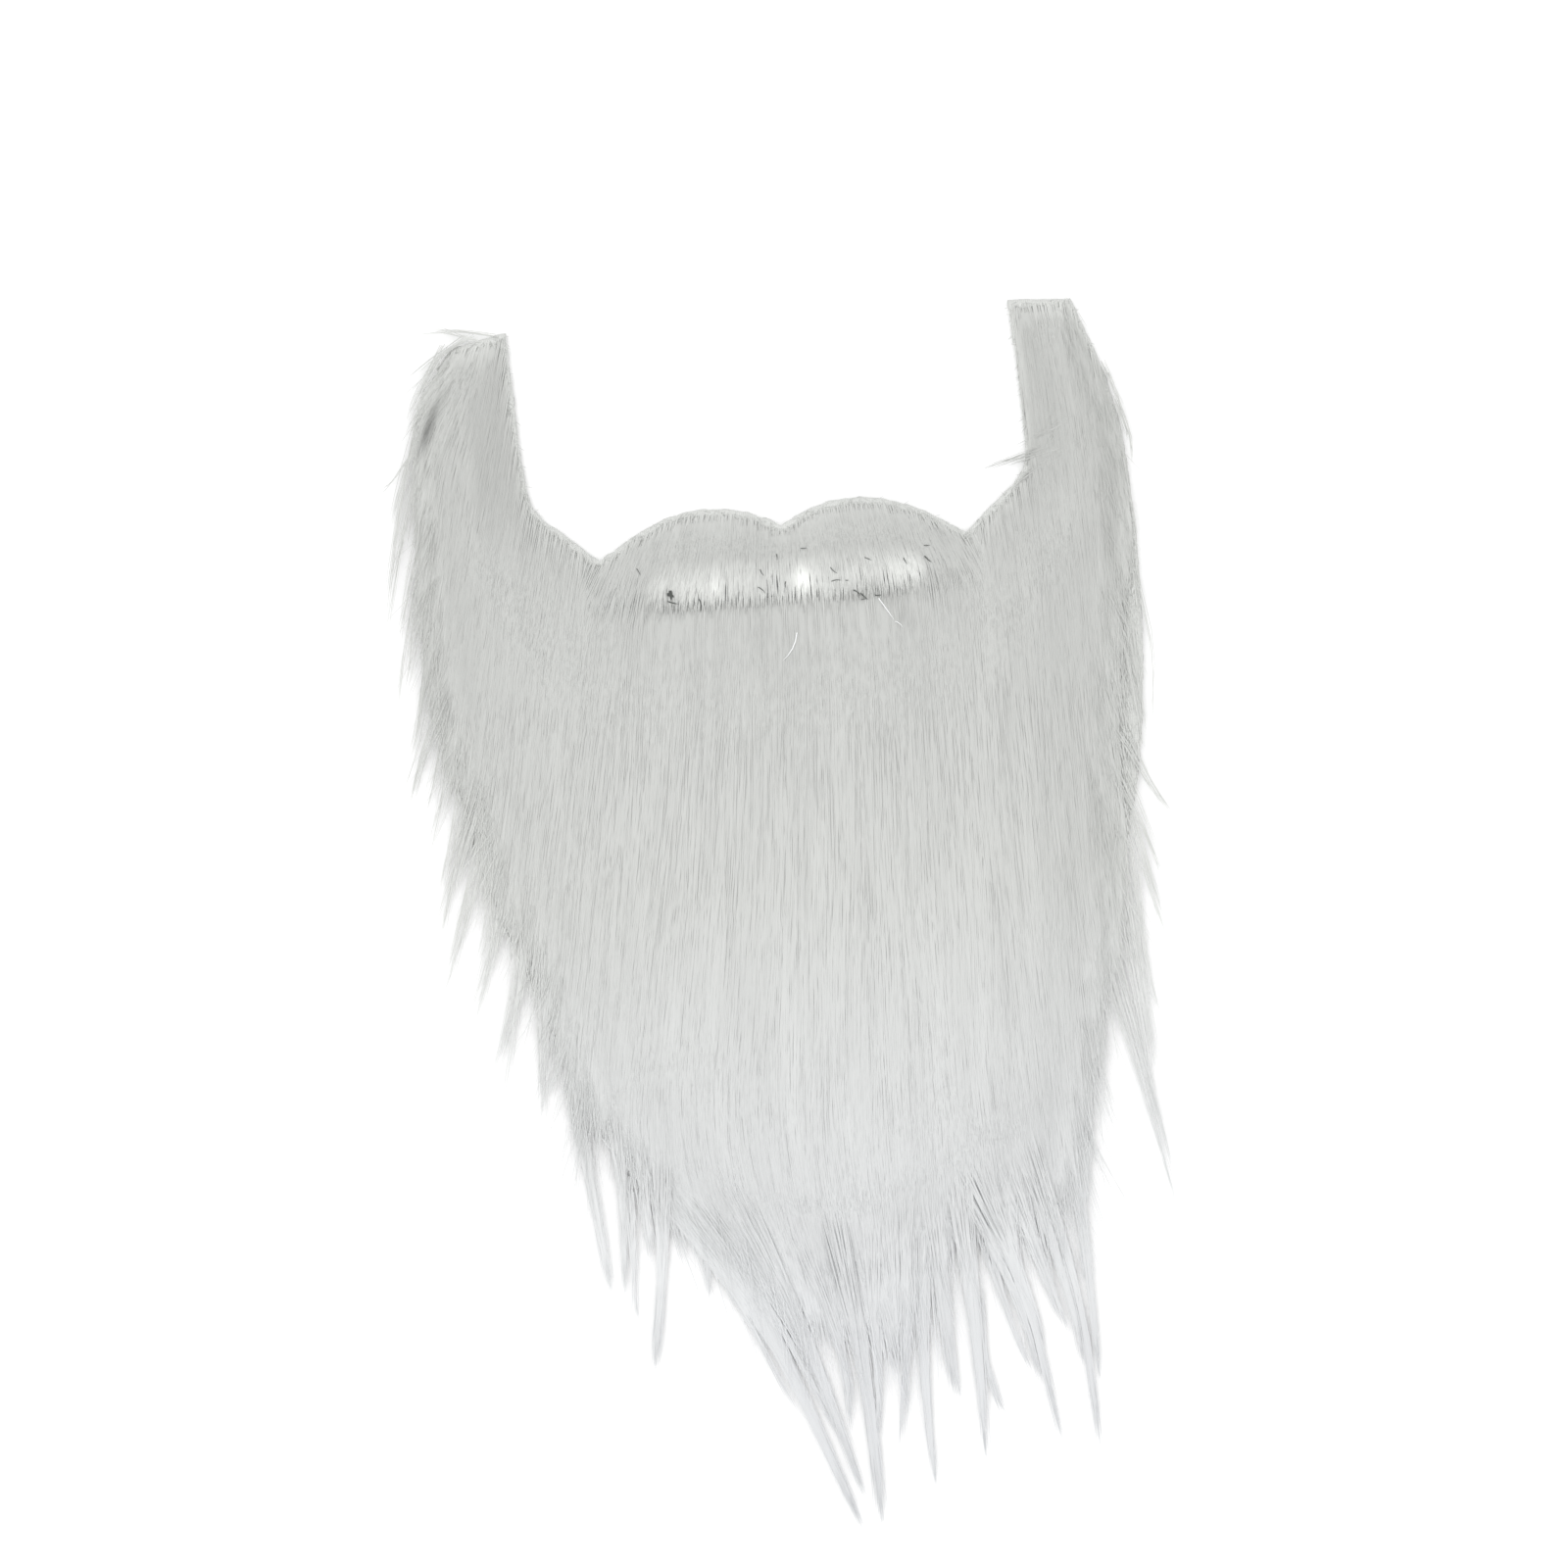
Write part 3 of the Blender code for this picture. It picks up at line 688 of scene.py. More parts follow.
def knitFinish():
    # fine warp-knit backing: columns of small stitches
    material, nodes, links, shader = newMaterial("knitBacking", "knit")
    place, split = placeNodes(nodes, links)
    pace = math.tau / (backing["stitch"] * mm)
    wale = mathNode(nodes, links, "SINE", mathNode(nodes, links, "MULTIPLY", split.outputs["X"], pace))
    slant = mathNode(nodes, links, "ABSOLUTE", wale)
    climb = mathNode(nodes, links, "MULTIPLY", split.outputs["Y"], pace * backing["courses"])
    lean = mathNode(nodes, links, "MULTIPLY_ADD", slant, backing["stitchLean"], climb)
    course = mathNode(nodes, links, "SINE", lean)
    loops = mathNode(nodes, links, "MULTIPLY_ADD", course, backing["courseDepth"], slant)
    fuzz = patchNoise(nodes, links, place, (700, 700, 700), 4.0)
    relief = mathNode(nodes, links, "MULTIPLY_ADD", fuzz, backing["fuzz"], loops)
    base = nodes.new("ShaderNodeRGB")
    base.outputs[0].default_value = (*backing["colour"], 1)
    # painted shade: the hollows of the relief are darker
    amount = mathNode(nodes, links, "MULTIPLY_ADD", relief, backing["shade"], 1 - backing["shade"])
    links.new(shaded(nodes, links, base.outputs[0], amount), shader.inputs["Base Color"])
    addBump(nodes, links, shader, relief, *backing["bump"])
    return material


# backing cloth

backing = {
    "colour": (0.63, 0.64, 0.62),
    "stitch": 1.15,        # width of one knitted wale
    "courses": 1.3,        # courses for each wale's width
    "stitchLean": 1.9,
    "courseDepth": 0.35,   # how much of the relief the courses and the fuzz make
    "fuzz": 0.6,
    "shade": 0.06,         # how dark the painted shade in the hollows between stitches is
    "bump": (0.4, 0.2),    # strength and depth
    "edgeStep": 1.6,
    "grid": 2.6,
    "clear": 0.6,          # the share of the grid that inner points stay off the edges
    "fray": 0.12,          # how uneven the cut is
    "top": 1.5,
    "bottom": 0.05,
    "give": 0.12,          # how far it lifts here and there
    "ripples": 3.0,        # how much closer those waves are than the combing's
}


def slab(name, flat, faces, top, bottom, material, shade=None):
    # a closed sheet from a flat net of triangles or quads, with a top and a bottom height for each point
    count, size = len(flat), faces.shape[1]
    points = np.concatenate([np.column_stack([flat, top]), np.column_stack([flat, bottom])])
    under = faces[:, ::-1] + count
    sides = np.concatenate([faces[:, [k, (k + 1) % size]] for k in range(size)])
    key = np.sort(sides, 1)
    _, index, uses = np.unique(key[:, 0] * count + key[:, 1], return_index=True, return_counts=True)
    rim = sides[index[uses == 1]]
    shade = None if shade is None else np.concatenate([shade, shade])
    walls = np.column_stack([rim[:, 1], rim[:, 0], rim[:, 0] + count, rim[:, 1] + count])
    if size == 3:
        rounded = np.arange(len(walls) + 2 * len(faces)) >= len(walls)
        return meshFromArrays(name, points, walls, np.concatenate([faces, under]), material, shade, rounded)
    quads = np.concatenate([faces, under, walls])
    rounded = np.arange(len(quads)) < 2 * len(faces)
    return meshFromArrays(name, points, quads, np.empty((0, 3)), material, shade, rounded)


def usedOnly(faces):
    # the faces counted among the points they use, and those points
    used = np.unique(faces)
    place = np.zeros(used[-1] + 1, int)
    place[used] = np.arange(len(used))
    return place[faces], used


def makeBacking(cut, slit):
    step = backing["grid"]
    outer, inner = resample(cut, backing["edgeStep"]), resample(slit, backing["edgeStep"])
    outer = outer + rng.normal(0, backing["fray"], outer.shape)
    inner = inner + rng.normal(0, backing["fray"], inner.shape)
    low, high = cut.min(0), cut.max(0)
    # rows of even triangles, every other one half a step along
    across, up = np.meshgrid(np.arange(low[0], high[0], step), np.arange(low[1], high[1], step * 0.87))
    across = across + (np.arange(len(across)) % 2)[:, None] * step / 2
    middle = np.column_stack([across.ravel(), up.ravel()])
    edges = np.concatenate([outer, inner])
    keep = insideLoop(outer, middle) & ~insideLoop(inner, middle)
    keep &= distanceTo(edges, middle) > backing["clear"] * step
    points = [Vector(p) for p in np.concatenate([edges, middle[keep]])]
    first, second = len(outer), len(inner)
    ring = [(i, (i + 1) % first) for i in range(first)]
    ring += [(first + i, first + (i + 1) % second) for i in range(second)]
    corners, _, faces, *_ = delaunay_2d_cdt(points, ring, [], 0, 1e-4)
    flat = np.array([p[:] for p in corners])
    faces = np.array([f for f in faces if len(f) == 3])
    centre = flat[faces].mean(1)
    faces = faces[insideLoop(outer, centre) & ~insideLoop(inner, centre)]
    faces, used = usedOnly(faces)
    flat = flat[used]
    lift = backing["give"] * np.clip(wander(flat * backing["ripples"]), 0, 1)
    top, bottom = backing["top"] + lift * 0.5, backing["bottom"] + lift
    piece = slab("knittedBacking", flat, faces, top, bottom, knitFinish())
    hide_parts("backing_cloth")


# underfur: the felted mass below the combed hair, one piece for each region

underfur = {
    "grid": 1.8,
    "edge": 0.4,        # how far it stays inside the trimmed rims
    "outerEdge": 1.2,   # and inside the long hair's edge
    "bottom": 1.0,      # it is rooted in the cloth
    "step": 0.35,       # least thickness
    "border": 0.3,      # it is that thin this near its edge
    "snap": 0.6,        # points nearer the edge than this share of the grid move onto it
    "netFrom": (-112, -242),
    "netTo": (112, 72),
    "leavesCloth": (4, 16),   # past the cloth its underside comes down to the floor
    "overFloor": 0.3,
    "streaks": 0.06,    # fine streaks in its colour
    "streakScale": (1900, 60, 900),
    "bump": (0.15, 0.4),
}

regions = {
    "moustache": {"node": "moustache_fur", "slot": "moustache"},
    "sideburnLeft": {"node": "sideburn_fur_left", "slot": "sideburns"},
    "sideburnRight": {"node": "sideburn_fur_right", "slot": "sideburns"},
    "beard": {"node": "beard_fur", "slot": "beard"},
}

seams = {
    "lipHalf": 40.0,      # the moustache reaches this far to each side
    "lipEnd": 52.0,       # and its pointed ends this far
    "lipBelow": -7.0,     # where the seam under a pointed end starts
    "slope": 0.46,
    "beardBelow": -14.0,
}


def regionOf(points):
    x, y = points[..., 0], points[..., 1]
    seam = seams["lipBelow"] + (np.abs(x) - seams["lipHalf"]) * seams["slope"]
    onLip = (np.abs(x) < seams["lipHalf"]) | ((y > seam) & (np.abs(x) < seams["lipEnd"]))
    names = np.where(x < 0, "sideburnLeft", "sideburnRight")
    names = np.where(onLip, "moustache", names)
    return np.where(y < seams["beardBelow"], "beard", names)


def makeUnderfur(fields):
    step, snap = underfur["grid"], underfur["snap"] * underfur["grid"]
    atLongHair = fields["fur"] < fields["rim"] - pile["rimBare"]
    furDepth = fields["fur"] - np.where(atLongHair, underfur["outerEdge"], underfur["edge"])
    clothDepth = np.where(fields["past"] > 0, np.inf, fields["cloth"] - underfur["edge"])
    depth = np.minimum(furDepth, clothDepth)
    slopeUp, slopeAcross = np.gradient(depth, fieldGrid["step"])
    (x0, y0), (x1, y1) = underfur["netFrom"], underfur["netTo"]
    net = np.stack(np.meshgrid(np.arange(x0, x1, step), np.arange(y0, y1, step)), -1)
    here = sample(depth, net)
    inside = here > -snap
    nearEdge = inside & (here < snap)
    push = np.stack([sample(slopeAcross, net), sample(slopeUp, net)], -1)
    push /= np.maximum(np.linalg.norm(push, axis=-1, keepdims=True), 0.3)
    net = np.where(nearEdge[..., None], net - push * here[..., None], net)
    index = np.arange(inside.size).reshape(inside.shape)
    whole = inside[:-1, :-1] & inside[:-1, 1:] & inside[1:, 1:] & inside[1:, :-1]
    quads = np.stack([index[:-1, :-1], index[:-1, 1:], index[1:, 1:], index[1:, :-1]], -1)[whole]
    flat = net.reshape(-1, 2)

    down = smooth(*underfur["leavesCloth"], sample(fields["past"], flat))
    low = underfur["bottom"] * (1 - down) + underfur["overFloor"] * down
    thin = low + underfur["step"]
    high = np.maximum(thin, sample(fields["surface"], flat) - pile["felt"])
    high = np.where(sample(depth, flat) < underfur["border"], thin, high)
    # painted shade in hollows and painted light at edges, rims and the slit
    shade = paintedHollowShade(flat) * edgeLight(flat, fields)
    belongs = regionOf(flat[quads].mean(1))
    for name, region in regions.items():
        mine, used = usedOnly(quads[belongs == name])
        finish = underfurFinish(name + "Felt")
        piece = slab(name + "Underfur", flat[used], mine, high[used], low[used], finish, shade[used])
        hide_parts(region["node"])


# combed hair

laidHair = {
    "uneven": (0.82, 1.1),     # how lengths vary
    "gatherFades": (40, -190),  # hairs draw together into locks more and more from here to here
    "gatherTop": 0.35,
    "lockReach": 0.3,          # how far a lock's own length past the edge counts
    "raggedFades": (-120, -180),
    "faceHalf": 80,            # beside the face hairs stay within about 1 mm of the rim
    "faceAbove": -8,
    "blunt": 0.92,
    "hidden": 0.38,            # the share of a hair that lies under others, well inside the fur
    "hiddenMost": 0.6,
    "hiddenFades": (3, 16),
    "margin": 0.4,             # roots stay this far inside the cloth's edge
}

beardHair = {
    "bands": [   # name, from y, to y, hairs, rings
        ("beardHairUpper", -13, -72, 6800, 6),
        ("beardHairMiddle", -72, -126, 6000, 6),
        ("beardHairHem", -126, -190, 4800, 6),
    ],
    "radius": (0.12, 0.21),
    "ragged": 0.7,          # how far it strays past the dense edge, on average
    "hemRagged": 5.0,       # how many times more it does so along the hem
    "locks": [(6.0, 0.25), (15.0, 0.3)],
}

sideburnHair = {
    "hairs": 4200,
    "rings": 5,
    "radius": (0.12, 0.20),
    "ragged": 0.8,
    "hemRagged": 0.0,
    "locks": [(6.0, 0.2), (13.0, 0.2)],
}


def combedHair(roots, fields, settings, rings):
    # lines for hairs of the laid pile, with their radius and the share along each
    count = len(roots)
    lengths = np.interp(roots[:, 1], comb["lengthAt"], comb["length"])
    lengths = lengths * rng.uniform(*laidHair["uneven"], count)
    path = growPaths(roots, lengths, rng.normal(0, comb["stray"], count))
    ragged = 1 + settings["hemRagged"] * smooth(*laidHair["raggedFades"], roots[:, 1])
    ragged = settings["ragged"] * ragged
    gather = laidHair["gatherTop"]
    gather = gather + (1 - gather) * smooth(*laidHair["gatherFades"], roots[:, 1])
    reach, share = ragged, laidHair["lockReach"]
    for size, strength in settings["locks"]:
        lock, total = gatherLocks(path, size, strength * gather)
        reach = (1 - share) * reach + share * ragged * rng.exponential(1.0, total)[lock]
    nearFace = (np.abs(roots[:, 0]) < laidHair["faceHalf"]) & (roots[:, 1] > laidHair["faceAbove"])
    reach = np.where(nearFace, 1.0, reach) * rng.exponential(1.0, count)
    end = trimAtEdge(path, reach, fields) * rng.uniform(laidHair["blunt"], 1.0, count)
    inside = smooth(*laidHair["hiddenFades"], sample(fields["upstream"], roots))
    start = np.minimum(laidHair["hidden"] * inside, end * laidHair["hiddenMost"])
    above = pile["loose"] * rng.random(count)
    lines, along = layHairs(path, lengths, start, end, rings, above, fields)
    return lines, rng.uniform(*settings["radius"], count), along


def growBeard(fields):
    finish = hairFinish("beardHairFinish")
    for name, top, bottom, count, rings in beardHair["bands"]:
        def test(p):
            return canRoot(p, laidHair["margin"], fields) & (p[:, 1] < top) & (p[:, 1] >= bottom)
        roots = pickRoots(count, test)
        lines, radius, along = combedHair(roots, fields, beardHair, rings)
        piece = hairMesh(name, lines, radius, along, finish, tint=edgeLight(lines, fields))


def growSideburns(fields):
    finish = hairFinish("sideburnHairFinish")
    for side in ("Left", "Right"):
        def test(p):
            return canRoot(p, laidHair["margin"], fields) & (regionOf(p) == "sideburn" + side)
        roots = pickRoots(sideburnHair["hairs"], test)
        lines, radius, along = combedHair(roots, fields, sideburnHair, sideburnHair["rings"])
        tint = edgeLight(lines, fields)
        piece = hairMesh("sideburnHair" + side, lines, radius, along, finish, tint=tint)


moustacheHair = {
    "hairs": 3000,
    "rings": 6,
    "radius": (0.12, 0.20),
    "margin": 0.3,
    "crossing": 0.55,        # the share of hairs that hang over the slit
    "past": (-3.0, 11.0),    # how far those reach past its lower edge
    "short": (0.3, 2.5),     # how far the others reach past the slit's upper edge
    "longest": 14.0,
    "blunt": 0.85,
    "stray": 4.0,
    "lock": (4.0, 0.3),      # size and strength
    "paintedSlitLight": 0.16,        # painted light added over the slit, where the floor shines through
    "slitFades": (1.0, -1.5),
    "slitTop": -4.0,
    "paintedLightSpots": [   # x, y, half width, half height and tint of painted light where the slit shows palest
        (5, -10, 2.6, 2.8, 0.9),
        (-25, -10, 7.0, 3.2, 0.14),
        (-20, -10, 1.1, 3.0, 0.4),
        (34, -9, 6.0, 2.4, 0.35),
    ],
}


def growMoustache(fields, slitBottom, slitTop):
    # short hair that hangs over the mouth slit, painted lighter where the slit shows through
    def test(p):
        return canRoot(p, moustacheHair["margin"], fields) & (regionOf(p) == "moustache")
    roots = pickRoots(moustacheHair["hairs"], test)
    count = len(roots)
    crosses = rng.random(count) < moustacheHair["crossing"]
    lengths = roots[:, 1] - slitTop + rng.uniform(*moustacheHair["short"], count)
    long = roots[:, 1] - slitBottom + rng.uniform(*moustacheHair["past"], count)
    lengths = np.where(crosses, long, np.minimum(lengths, moustacheHair["longest"]))
    path = growPaths(roots, lengths, rng.normal(0, moustacheHair["stray"], count))
    size, strength = moustacheHair["lock"]
    gatherLocks(path, size, np.full(count, strength))
    start, end = np.zeros(count), rng.uniform(moustacheHair["blunt"], 1.0, count)
    above = pile["loose"] * rng.random(count)
    lines, along = layHairs(path, lengths, start, end, moustacheHair["rings"], above, fields)
    radius = rng.uniform(*moustacheHair["radius"], count)
    overSlit = smooth(*moustacheHair["slitFades"], sample(fields["cloth"], lines))
    overSlit = overSlit * (lines[..., 1] < moustacheHair["slitTop"])
    # painted light over the slit and at its palest spots
    tint = edgeLight(lines, fields) + moustacheHair["paintedSlitLight"] * overSlit
    for x, y, wide, high, extra in moustacheHair["paintedLightSpots"]:
        tint += extra * np.exp(-((lines[..., 0] - x) / wide) ** 2 - ((lines[..., 1] - y) / high) ** 2)
    piece = hairMesh("moustacheHair", lines, radius, along, hairFinish("moustacheHairFinish"), tint=tint)


# edge locks: where each leaves the dense fur, where it bends and where it ends

edgeLocks = {
    "rings": 6,
    "radius": (0.05, 0.11),
    "taper": (0.65, 0.65),  # a hair's width at its tip, and where its narrowing starts
    "hemRadius": 2.15,     # how much thicker the hem's are
    "hemFades": (-130, -185),
    "tipDarker": 0.13,     # the hem's tips look darker against the floor
    "tipFades": (-195, -235),
    "back": (3.0, 32.0),   # how far roots reach back into the fur, for each mm of width and at most
    "rootSpread": 0.2,
    "point": 0.03,         # width of a lock at its tip
    "narrowing": 1.5,      # how soon it gets there
    "tipsApart": 0.3,      # how far a lock's several tips stay apart
    "shorter": 0.3,        # and how much shorter the lesser ones are, at most
    "early": 0.30,         # half of the hairs end about this much before the tip
    "late": 0.06,          # and the others this much
    "sway": 0.75,
    "faint": 0.1,          # the last bit of a tip is too fine to see, so it reaches this much further
    "rows": [              # from x, y by x, y to x, y, width, hairs, tips
        (-79, 67, -88, 69, -101, 69, 1, 7, 2),
        (-84, 66, -90, 68, -97, 70, 1, 5, 2),
        (-90, 64, -97, 60, -103, 56, 3, 14, 3),
        (-96, 58, -101, 50, -105, 42, 3, 12, 3),
        (79, 22, 70, 20, 58, 17, 4, 30, 3),
        (80, 20, 73, 17, 64, 11, 5, 30, 4),
        (79, 27, 74, 25, 68, 23, 4, 24, 3),
        (79, 24, 75, 19, 71, 12, 4, 20, 3),
        (79, 31, 77, 26, 74, 22, 3, 12, 2),
        (99, 30, 101, 24, 101, 16, 2, 12, 2),
        (97, 40, 99, 34, 101, 27, 2, 10, 2),
        (-104, 8, -108, -4, -112, -18, 4, 10, 3),
        (-97, -72, -102, -88, -110, -104, 5, 11, 3),
        (-90, -98, -94, -112, -102, -132, 5, 11, 3),
        (-84, -112, -88, -132, -92, -152, 5, 11, 3),
        (-99, 48, -107, 29, -113, 10, 5, 12, 2),
        (-102, 36, -109, 13, -115, -17, 6, 18, 2),
        (-103, 26, -107, 15, -113, -2, 5, 11, 2),
        (-105, 33, -110, 27, -115, 24, 2, 5, 2),
        (-106, -10, -110, -23, -113, -39, 6, 14, 2),
        (-106, -14, -108, -24, -111, -34, 4, 9, 2),
        (-105, -35, -108, -47, -115, -63, 5, 18, 2),
        (-102, -41, -107, -51, -112, -67, 6, 20, 2),
        (-100, -44, -102, -54, -107, -68, 6, 20, 2),
        (-100, -56, -104, -71, -108, -81, 6, 20, 2),
        (-96, -62, -101, -78, -106, -92, 7, 22, 2),
        (-93, -67, -99, -81, -106, -105, 7, 36, 2),
        (-93, -80, -98, -95, -107, -120, 7, 27, 2),
        (-91, -90, -93, -104, -98, -114, 6, 18, 2),
        (-88, -93, -92, -112, -98, -129, 8, 36, 2),
        (-83, -108, -87, -126, -95, -146, 9, 50, 2),
        (-78, -118, -80, -136, -81, -159, 7, 36, 2),
        (-77, -130, -78, -141, -84, -161, 5, 14, 2),
        (-73, -134, -76, -144, -79, -151, 5, 30, 1),
        (-71, -145, -71, -157, -71, -167, 6, 50, 2),
        (-71, -161, -69, -179, -66, -207, 6, 90, 1),
        (-61, -160, -60, -181, -62, -208, 7, 90, 1),
        (-54, -174, -54, -189, -53, -201, 6, 50, 2),
        (-49, -180, -51, -204, -55, -230, 8, 110, 1),
        (-59, -187, -59, -201, -59, -217, 4, 24, 1),
        (-38, -200, -38, -205, -38, -212, 4, 16, 1),
        (-44, -185, -23, -217, -1, -277, 13, 190, 1),
        (-47, -186, -30, -211, -16, -246, 5, 40, 2),
        (-34, -192, -18, -219, -4, -254, 8, 70, 2),
        (-25, -189, -10, -229, 1, -270, 11, 150, 1),
        (-10, -200, -1, -230, 0, -253, 6, 50, 2),
        (0, -200, 5, -237, 6, -278, 11, 150, 1),
        (9, -206, 8, -237, 7, -255, 6, 50, 1),
        (17, -204, 16, -226, 14, -240, 13, 120, 2),
        (21, -207, 18, -224, 13, -257, 5, 30, 1),
        (11, -217, 13, -226, 13, -236, 6, 40, 2),
        (23, -212, 21, -238, 22, -269, 6, 70, 1),
        (28, -205, 29, -227, 30, -246, 8, 60, 2),
        (29, -216, 30, -232, 31, -246, 4, 24, 1),
        (36, -198, 37, -228, 37, -262, 10, 130, 1),
        (39, -224, 39, -238, 43, -251, 3, 12, 1),
        (41, -193, 52, -221, 58, -260, 9, 120, 2),
        (46, -195, 54, -225, 58, -248, 6, 60, 2),
        (43, -208, 48, -228, 52, -240, 4, 20, 1),
        (53, -196, 59, -216, 63, -230, 7, 60, 2),
        (60, -194, 67, -223, 69, -261, 9, 120, 2),
        (69, -186, 70, -206, 71, -242, 5, 60, 1),
        (72, -182, 70, -197, 69, -215, 4, 30, 1),
        (96, -69, 99, -76, 105, -85, 4, 18, 2),
        (95, -83, 98, -91, 101, -102, 6, 16, 2),
        (96, -98, 98, -108, 101, -120, 6, 16, 2),
        (92, -113, 93, -127, 96, -143, 7, 22, 2),
        (90, -119, 93, -141, 95, -160, 6, 16, 2),
        (85, -132, 91, -159, 98, -198, 8, 50, 2),
        (91, -132, 93, -154, 94, -173, 6, 27, 2),
        (81, -132, 81, -141, 81, -150, 5, 9, 2),
        (79, -149, 79, -159, 78, -167, 4, 11, 2),
        (72, -182, 72, -186, 72, -190, 4, 14, 1),
        (100, -17, 103, -37, 100, -60, 2, 5, 2),
        (97, -42, 98, -56, 98, -65, 5, 12, 2),
    ],
}


def lockPaths(row, steps=14):
    # hairs of one lock, wide at the root and drawn together to one or a few tips
    base, bend, tip = np.array(row[0:2], float), np.array(row[2:4], float), np.array(row[4:6], float)
    width, count, tips = row[6:9]
    tip += (tip - bend) * edgeLocks["faint"]
    outer = np.hypot(*(bend - base)) + np.hypot(*(tip - bend))
    into = (base - bend) / np.hypot(*(base - bend))
    back = min(edgeLocks["back"][0] * width, edgeLocks["back"][1])
    root = base + into * back
    length = back + outer
    known = [0, back / length, (back + np.hypot(*(bend - base))) / length, 1]
    t = np.linspace(0, 1, steps + 1)
    line = np.column_stack([np.interp(t, known, [p[a] for p in (root, base, bend, tip)]) for a in (0, 1)])
    for _ in range(3):    # rounds the bends
        line[1:-1] = (line[:-2] + 2 * line[1:-1] + line[2:]) / 4
    ahead = np.gradient(line, axis=0)
    side = np.column_stack([-ahead[:, 1], ahead[:, 0]]) / np.linalg.norm(ahead, axis=1)[:, None]
    across = rng.uniform(-1, 1, count)
    mine = np.clip(((across + 1) / 2 * tips).astype(int), 0, tips - 1)
    middle = (mine + 0.5) / tips * 2 - 1
    point, apart = edgeLocks["point"], edgeLocks["tipsApart"]
    narrow = point + (1 - point) * (1 - t) ** edgeLocks["narrowing"]
    spread = middle[:, None] * (apart + (1 - apart) * narrow) + (across - middle)[:, None] * narrow
    sway = rng.normal(0, edgeLocks["sway"], (count, 1)) * t
    offset = spread * width * 0.5 + sway * np.sin(t * 3 + rng.uniform(0, 6, (count, 1)))
    shorter = rng.uniform(0.0, edgeLocks["shorter"], tips)
    shorter[rng.integers(tips)] = 0.0
    early = np.where(rng.random(count) < 0.5, edgeLocks["early"], edgeLocks["late"])
    end = (1 - shorter[mine]) * (1 - np.abs(rng.normal(0, early)))
    return line[None] + side[None] * offset[..., None], length, np.clip(end, back / length + 0.1, 1.0)


def growEdgeLocks(fields):
    lines, shares = [], []
    for row in edgeLocks["rows"]:
        path, length, end = lockPaths(row)
        count = len(path)
        start = rng.uniform(0.0, edgeLocks["rootSpread"], count)
        above = 2 * pile["loose"] * rng.random(count)
        lengths = np.full(count, length)
        hairs, along = layHairs(path, lengths, start, end, edgeLocks["rings"], above, fields)
        lines.append(hairs)
        shares.append(along)
    lines, shares = np.concatenate(lines), np.concatenate(shares)
    thicker = 1 + (edgeLocks["hemRadius"] - 1) * smooth(*edgeLocks["hemFades"], lines[:, 0, 1])
    radius = rng.uniform(*edgeLocks["radius"], len(lines)) * thicker
    taper = taperLine(edgeLocks["rings"], *edgeLocks["taper"])
    darker = 1 - edgeLocks["tipDarker"] * smooth(*edgeLocks["tipFades"], lines[..., 1])
    tint = edgeLight(lines, fields) * darker
    piece = hairMesh("edgeLocks", lines, radius, shares, hairFinish("edgeLockFinish"), taper, tint)


# single fine hairs past the edge

flyaways = {
    "hairs": 1700,
    "rings": 5,
    "radius": (0.045, 0.09),
    "inside": (0.0, 9.0),     # how far inside the edge they leave the fur
    "lengthAt": [-220, -130, -60, 0, 66],
    "length": [34, 30, 24, 16, 11],
    "uneven": (0.4, 1.1),
    "towards": (0.0, -60.0),  # which way is inside
    "stray": 8.0,
    "outward": 7.0,           # those of the sides lean out
    "outwardFades": (50, 90),
    "bow": 0.06,              # how much they curve sideways, as a share of the length
    "above": (0.1, 1.2),
}


def addFlyaways(fields):
    line, count = longEdge(0.5, 2.0), flyaways["hairs"]
    roots = line[rng.integers(len(line), size=count)]
    inward = flyaways["towards"] - roots
    inward /= np.linalg.norm(inward, axis=1)[:, None]
    roots = roots + inward * rng.uniform(*flyaways["inside"], (count, 1))
    outward = np.sign(roots[:, 0]) * smooth(*flyaways["outwardFades"], np.abs(roots[:, 0]))
    leans = rng.normal(0, flyaways["stray"], count)
    leans = leans + outward * np.abs(rng.normal(0, flyaways["outward"], count))
    lengths = np.interp(roots[:, 1], flyaways["lengthAt"], flyaways["length"])
    lengths = lengths * rng.uniform(*flyaways["uneven"], count)
    path = growPaths(roots, lengths, leans)
    bow = rng.normal(0, flyaways["bow"], (count, 1)) * lengths[:, None]
    path[..., 0] += np.linspace(0, 1, path.shape[1]) ** 2 * bow
    start, end = np.zeros(count), np.ones(count)
    above = rng.uniform(*flyaways["above"], count)
    lines, along = layHairs(path, lengths, start, end, flyaways["rings"], above, fields)
    radius = rng.uniform(*flyaways["radius"], count)
    tint = edgeLight(lines, fields)
    piece = hairMesh("flyaways", lines, radius, along, hairFinish("flyawayFinish"), tint=tint)


# stray dark threads round the mouth slit, thick ones making a painted shadow at its left end, and two pale
# hairs below it

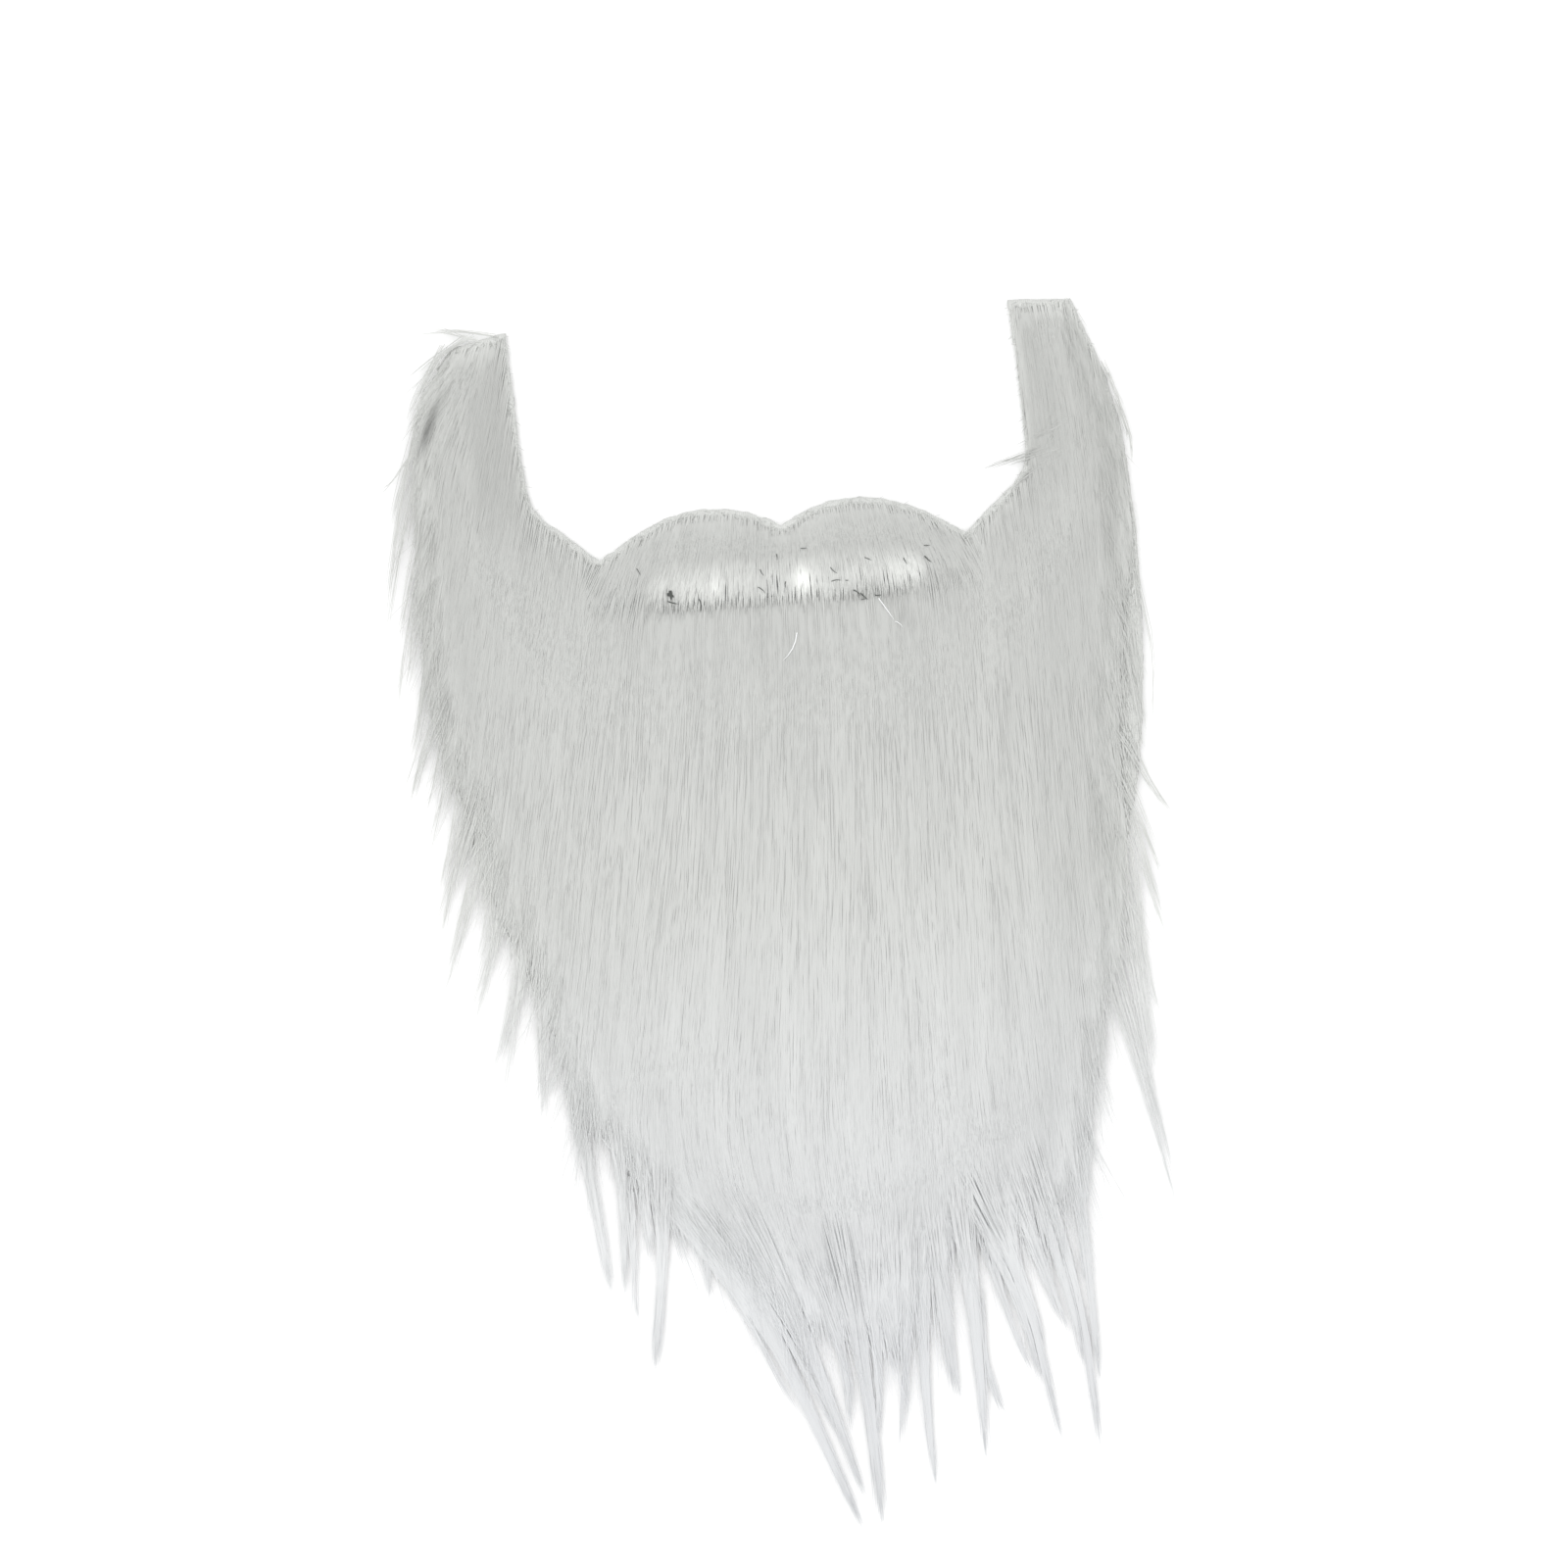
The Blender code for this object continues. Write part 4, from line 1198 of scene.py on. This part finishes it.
strayThreads = {
    "dark": [   # from x, y to x, y, half width
        # the first three, the widest, are a painted shadow at the slit's left end; the rest are dark
        # threads
        (-34, -11, -32, -12, 0.44), (-33, -10, -33, -13, 0.44), (-34, -13, -31, -14, 0.17),
        (-25, -13, -25, -17, 0.17), (-7, -6, -6, -8, 0.11), (-8, -11, -6, -13, 0.11),
        (-2, -2, -2, -4, 0.11), (0, -10, 0, -12, 0.11), (5, -1, 7, -1, 0.11), (13, -7, 15, -9, 0.11),
        (13, -11, 16, -11, 0.11), (17, -11, 18, -11, 0.11), (19, -14, 21, -16, 0.17),
        (21, -15, 23, -17, 0.17), (21, -17, 23, -17, 0.11), (25, -16, 27, -16, 0.17),
        (23, -5, 25, -6, 0.11), (34, -6, 35, -8, 0.11), (40, -3, 42, -3, 0.11),
        (40, -6, 42, -8, 0.17), (-42, -3, -41, -5, 0.11),
    ],
    "darkColour": (0.06, 0.065, 0.06),
    "pale": [(26, -17, 30, -24, 0.14), (30, -24, 32, -26, 0.1), (2, -25, -3, -33, 0.16)],
    "paleColour": (0.86, 0.87, 0.87),
    "above": 0.35,
    "bow": 0.12,    # how far they curve, as a share of the length
}


def layThreads(name, rows, colour, fields):
    rows = np.array(rows, float)
    t = np.linspace(0, 1, 5)
    flat = rows[:, None, 0:2] * (1 - t)[:, None] + rows[:, None, 2:4] * t[:, None]
    across = np.stack([rows[:, 1] - rows[:, 3], rows[:, 2] - rows[:, 0]], -1)[:, None]
    bow = rng.uniform(-strayThreads["bow"], strayThreads["bow"], (len(rows), 1, 1))
    flat = flat + across * bow * (t * (1 - t) * 4)[:, None]
    z = sample(fields["surface"], flat) + strayThreads["above"]
    material, _, _, shader = newMaterial(name + "Finish", "thread")
    shader.inputs["Base Color"].default_value = (*colour, 1)
    lines = np.concatenate([flat, z[..., None]], -1)
    piece = hairMesh(name, lines, rows[:, 4], np.broadcast_to(t, z.shape), material)


# short fuzz on the trimmed rim and round the slit

rimFuzz = {
    "hairs": 1200,
    "rings": 3,
    "length": (1.2, 3.0),
    "radius": (0.04, 0.08),
    "stray": 55.0,
    "rise": (0.2, 1.2),
    "margin": 0.1,      # from the cloth's edge
    "inside": 1.5,      # how far past the trimmed rim it goes on
    "sunk": 0.1,
    "tint": 1.04,
}


def addRimFuzz(fields):
    def test(p):
        rim = sample(fields["rim"], p)
        onRim = (rim > rimFuzz["margin"]) & (rim < pile["rimBare"] + rimFuzz["inside"])
        return onRim & (sample(fields["cloth"], p) > rimFuzz["margin"])
    count, rings = rimFuzz["hairs"], rimFuzz["rings"]
    roots = pickRoots(count, test)
    lengths = rng.uniform(*rimFuzz["length"], count)
    path = growPaths(roots, lengths, rng.normal(0, rimFuzz["stray"], count), rings)
    flat, along = ringsAlong(path, np.zeros(count), np.ones(count), rings)
    z = backing["top"] - rimFuzz["sunk"] + along * rng.uniform(*rimFuzz["rise"], (count, 1))
    lines = np.concatenate([flat, z[..., None]], -1)
    radius = rng.uniform(*rimFuzz["radius"], count)
    finish = hairFinish("rimFuzzFinish", "fuzz")
    piece = hairMesh("rimFuzz", lines, radius, along, finish, tint=rimFuzz["tint"])


setUpStudio()
print("studio ready")
cut, slit = clothLoops()
fields = makeFields(cut, slit)
print("pile worked out")
makeBacking(cut, slit)
makeUnderfur(fields)
print("backing and underfur made")
growBeard(fields)
growSideburns(fields)
growMoustache(fields, slit[:, 1].min(), slit[:, 1].max())
growEdgeLocks(fields)
addRimFuzz(fields)
addFlyaways(fields)
layThreads("darkThreadsAndShadow", strayThreads["dark"], strayThreads["darkColour"], fields)
layThreads("paleHairs", strayThreads["pale"], strayThreads["paleColour"], fields)
print("hair grown,", triangleTotal, "triangles in all")
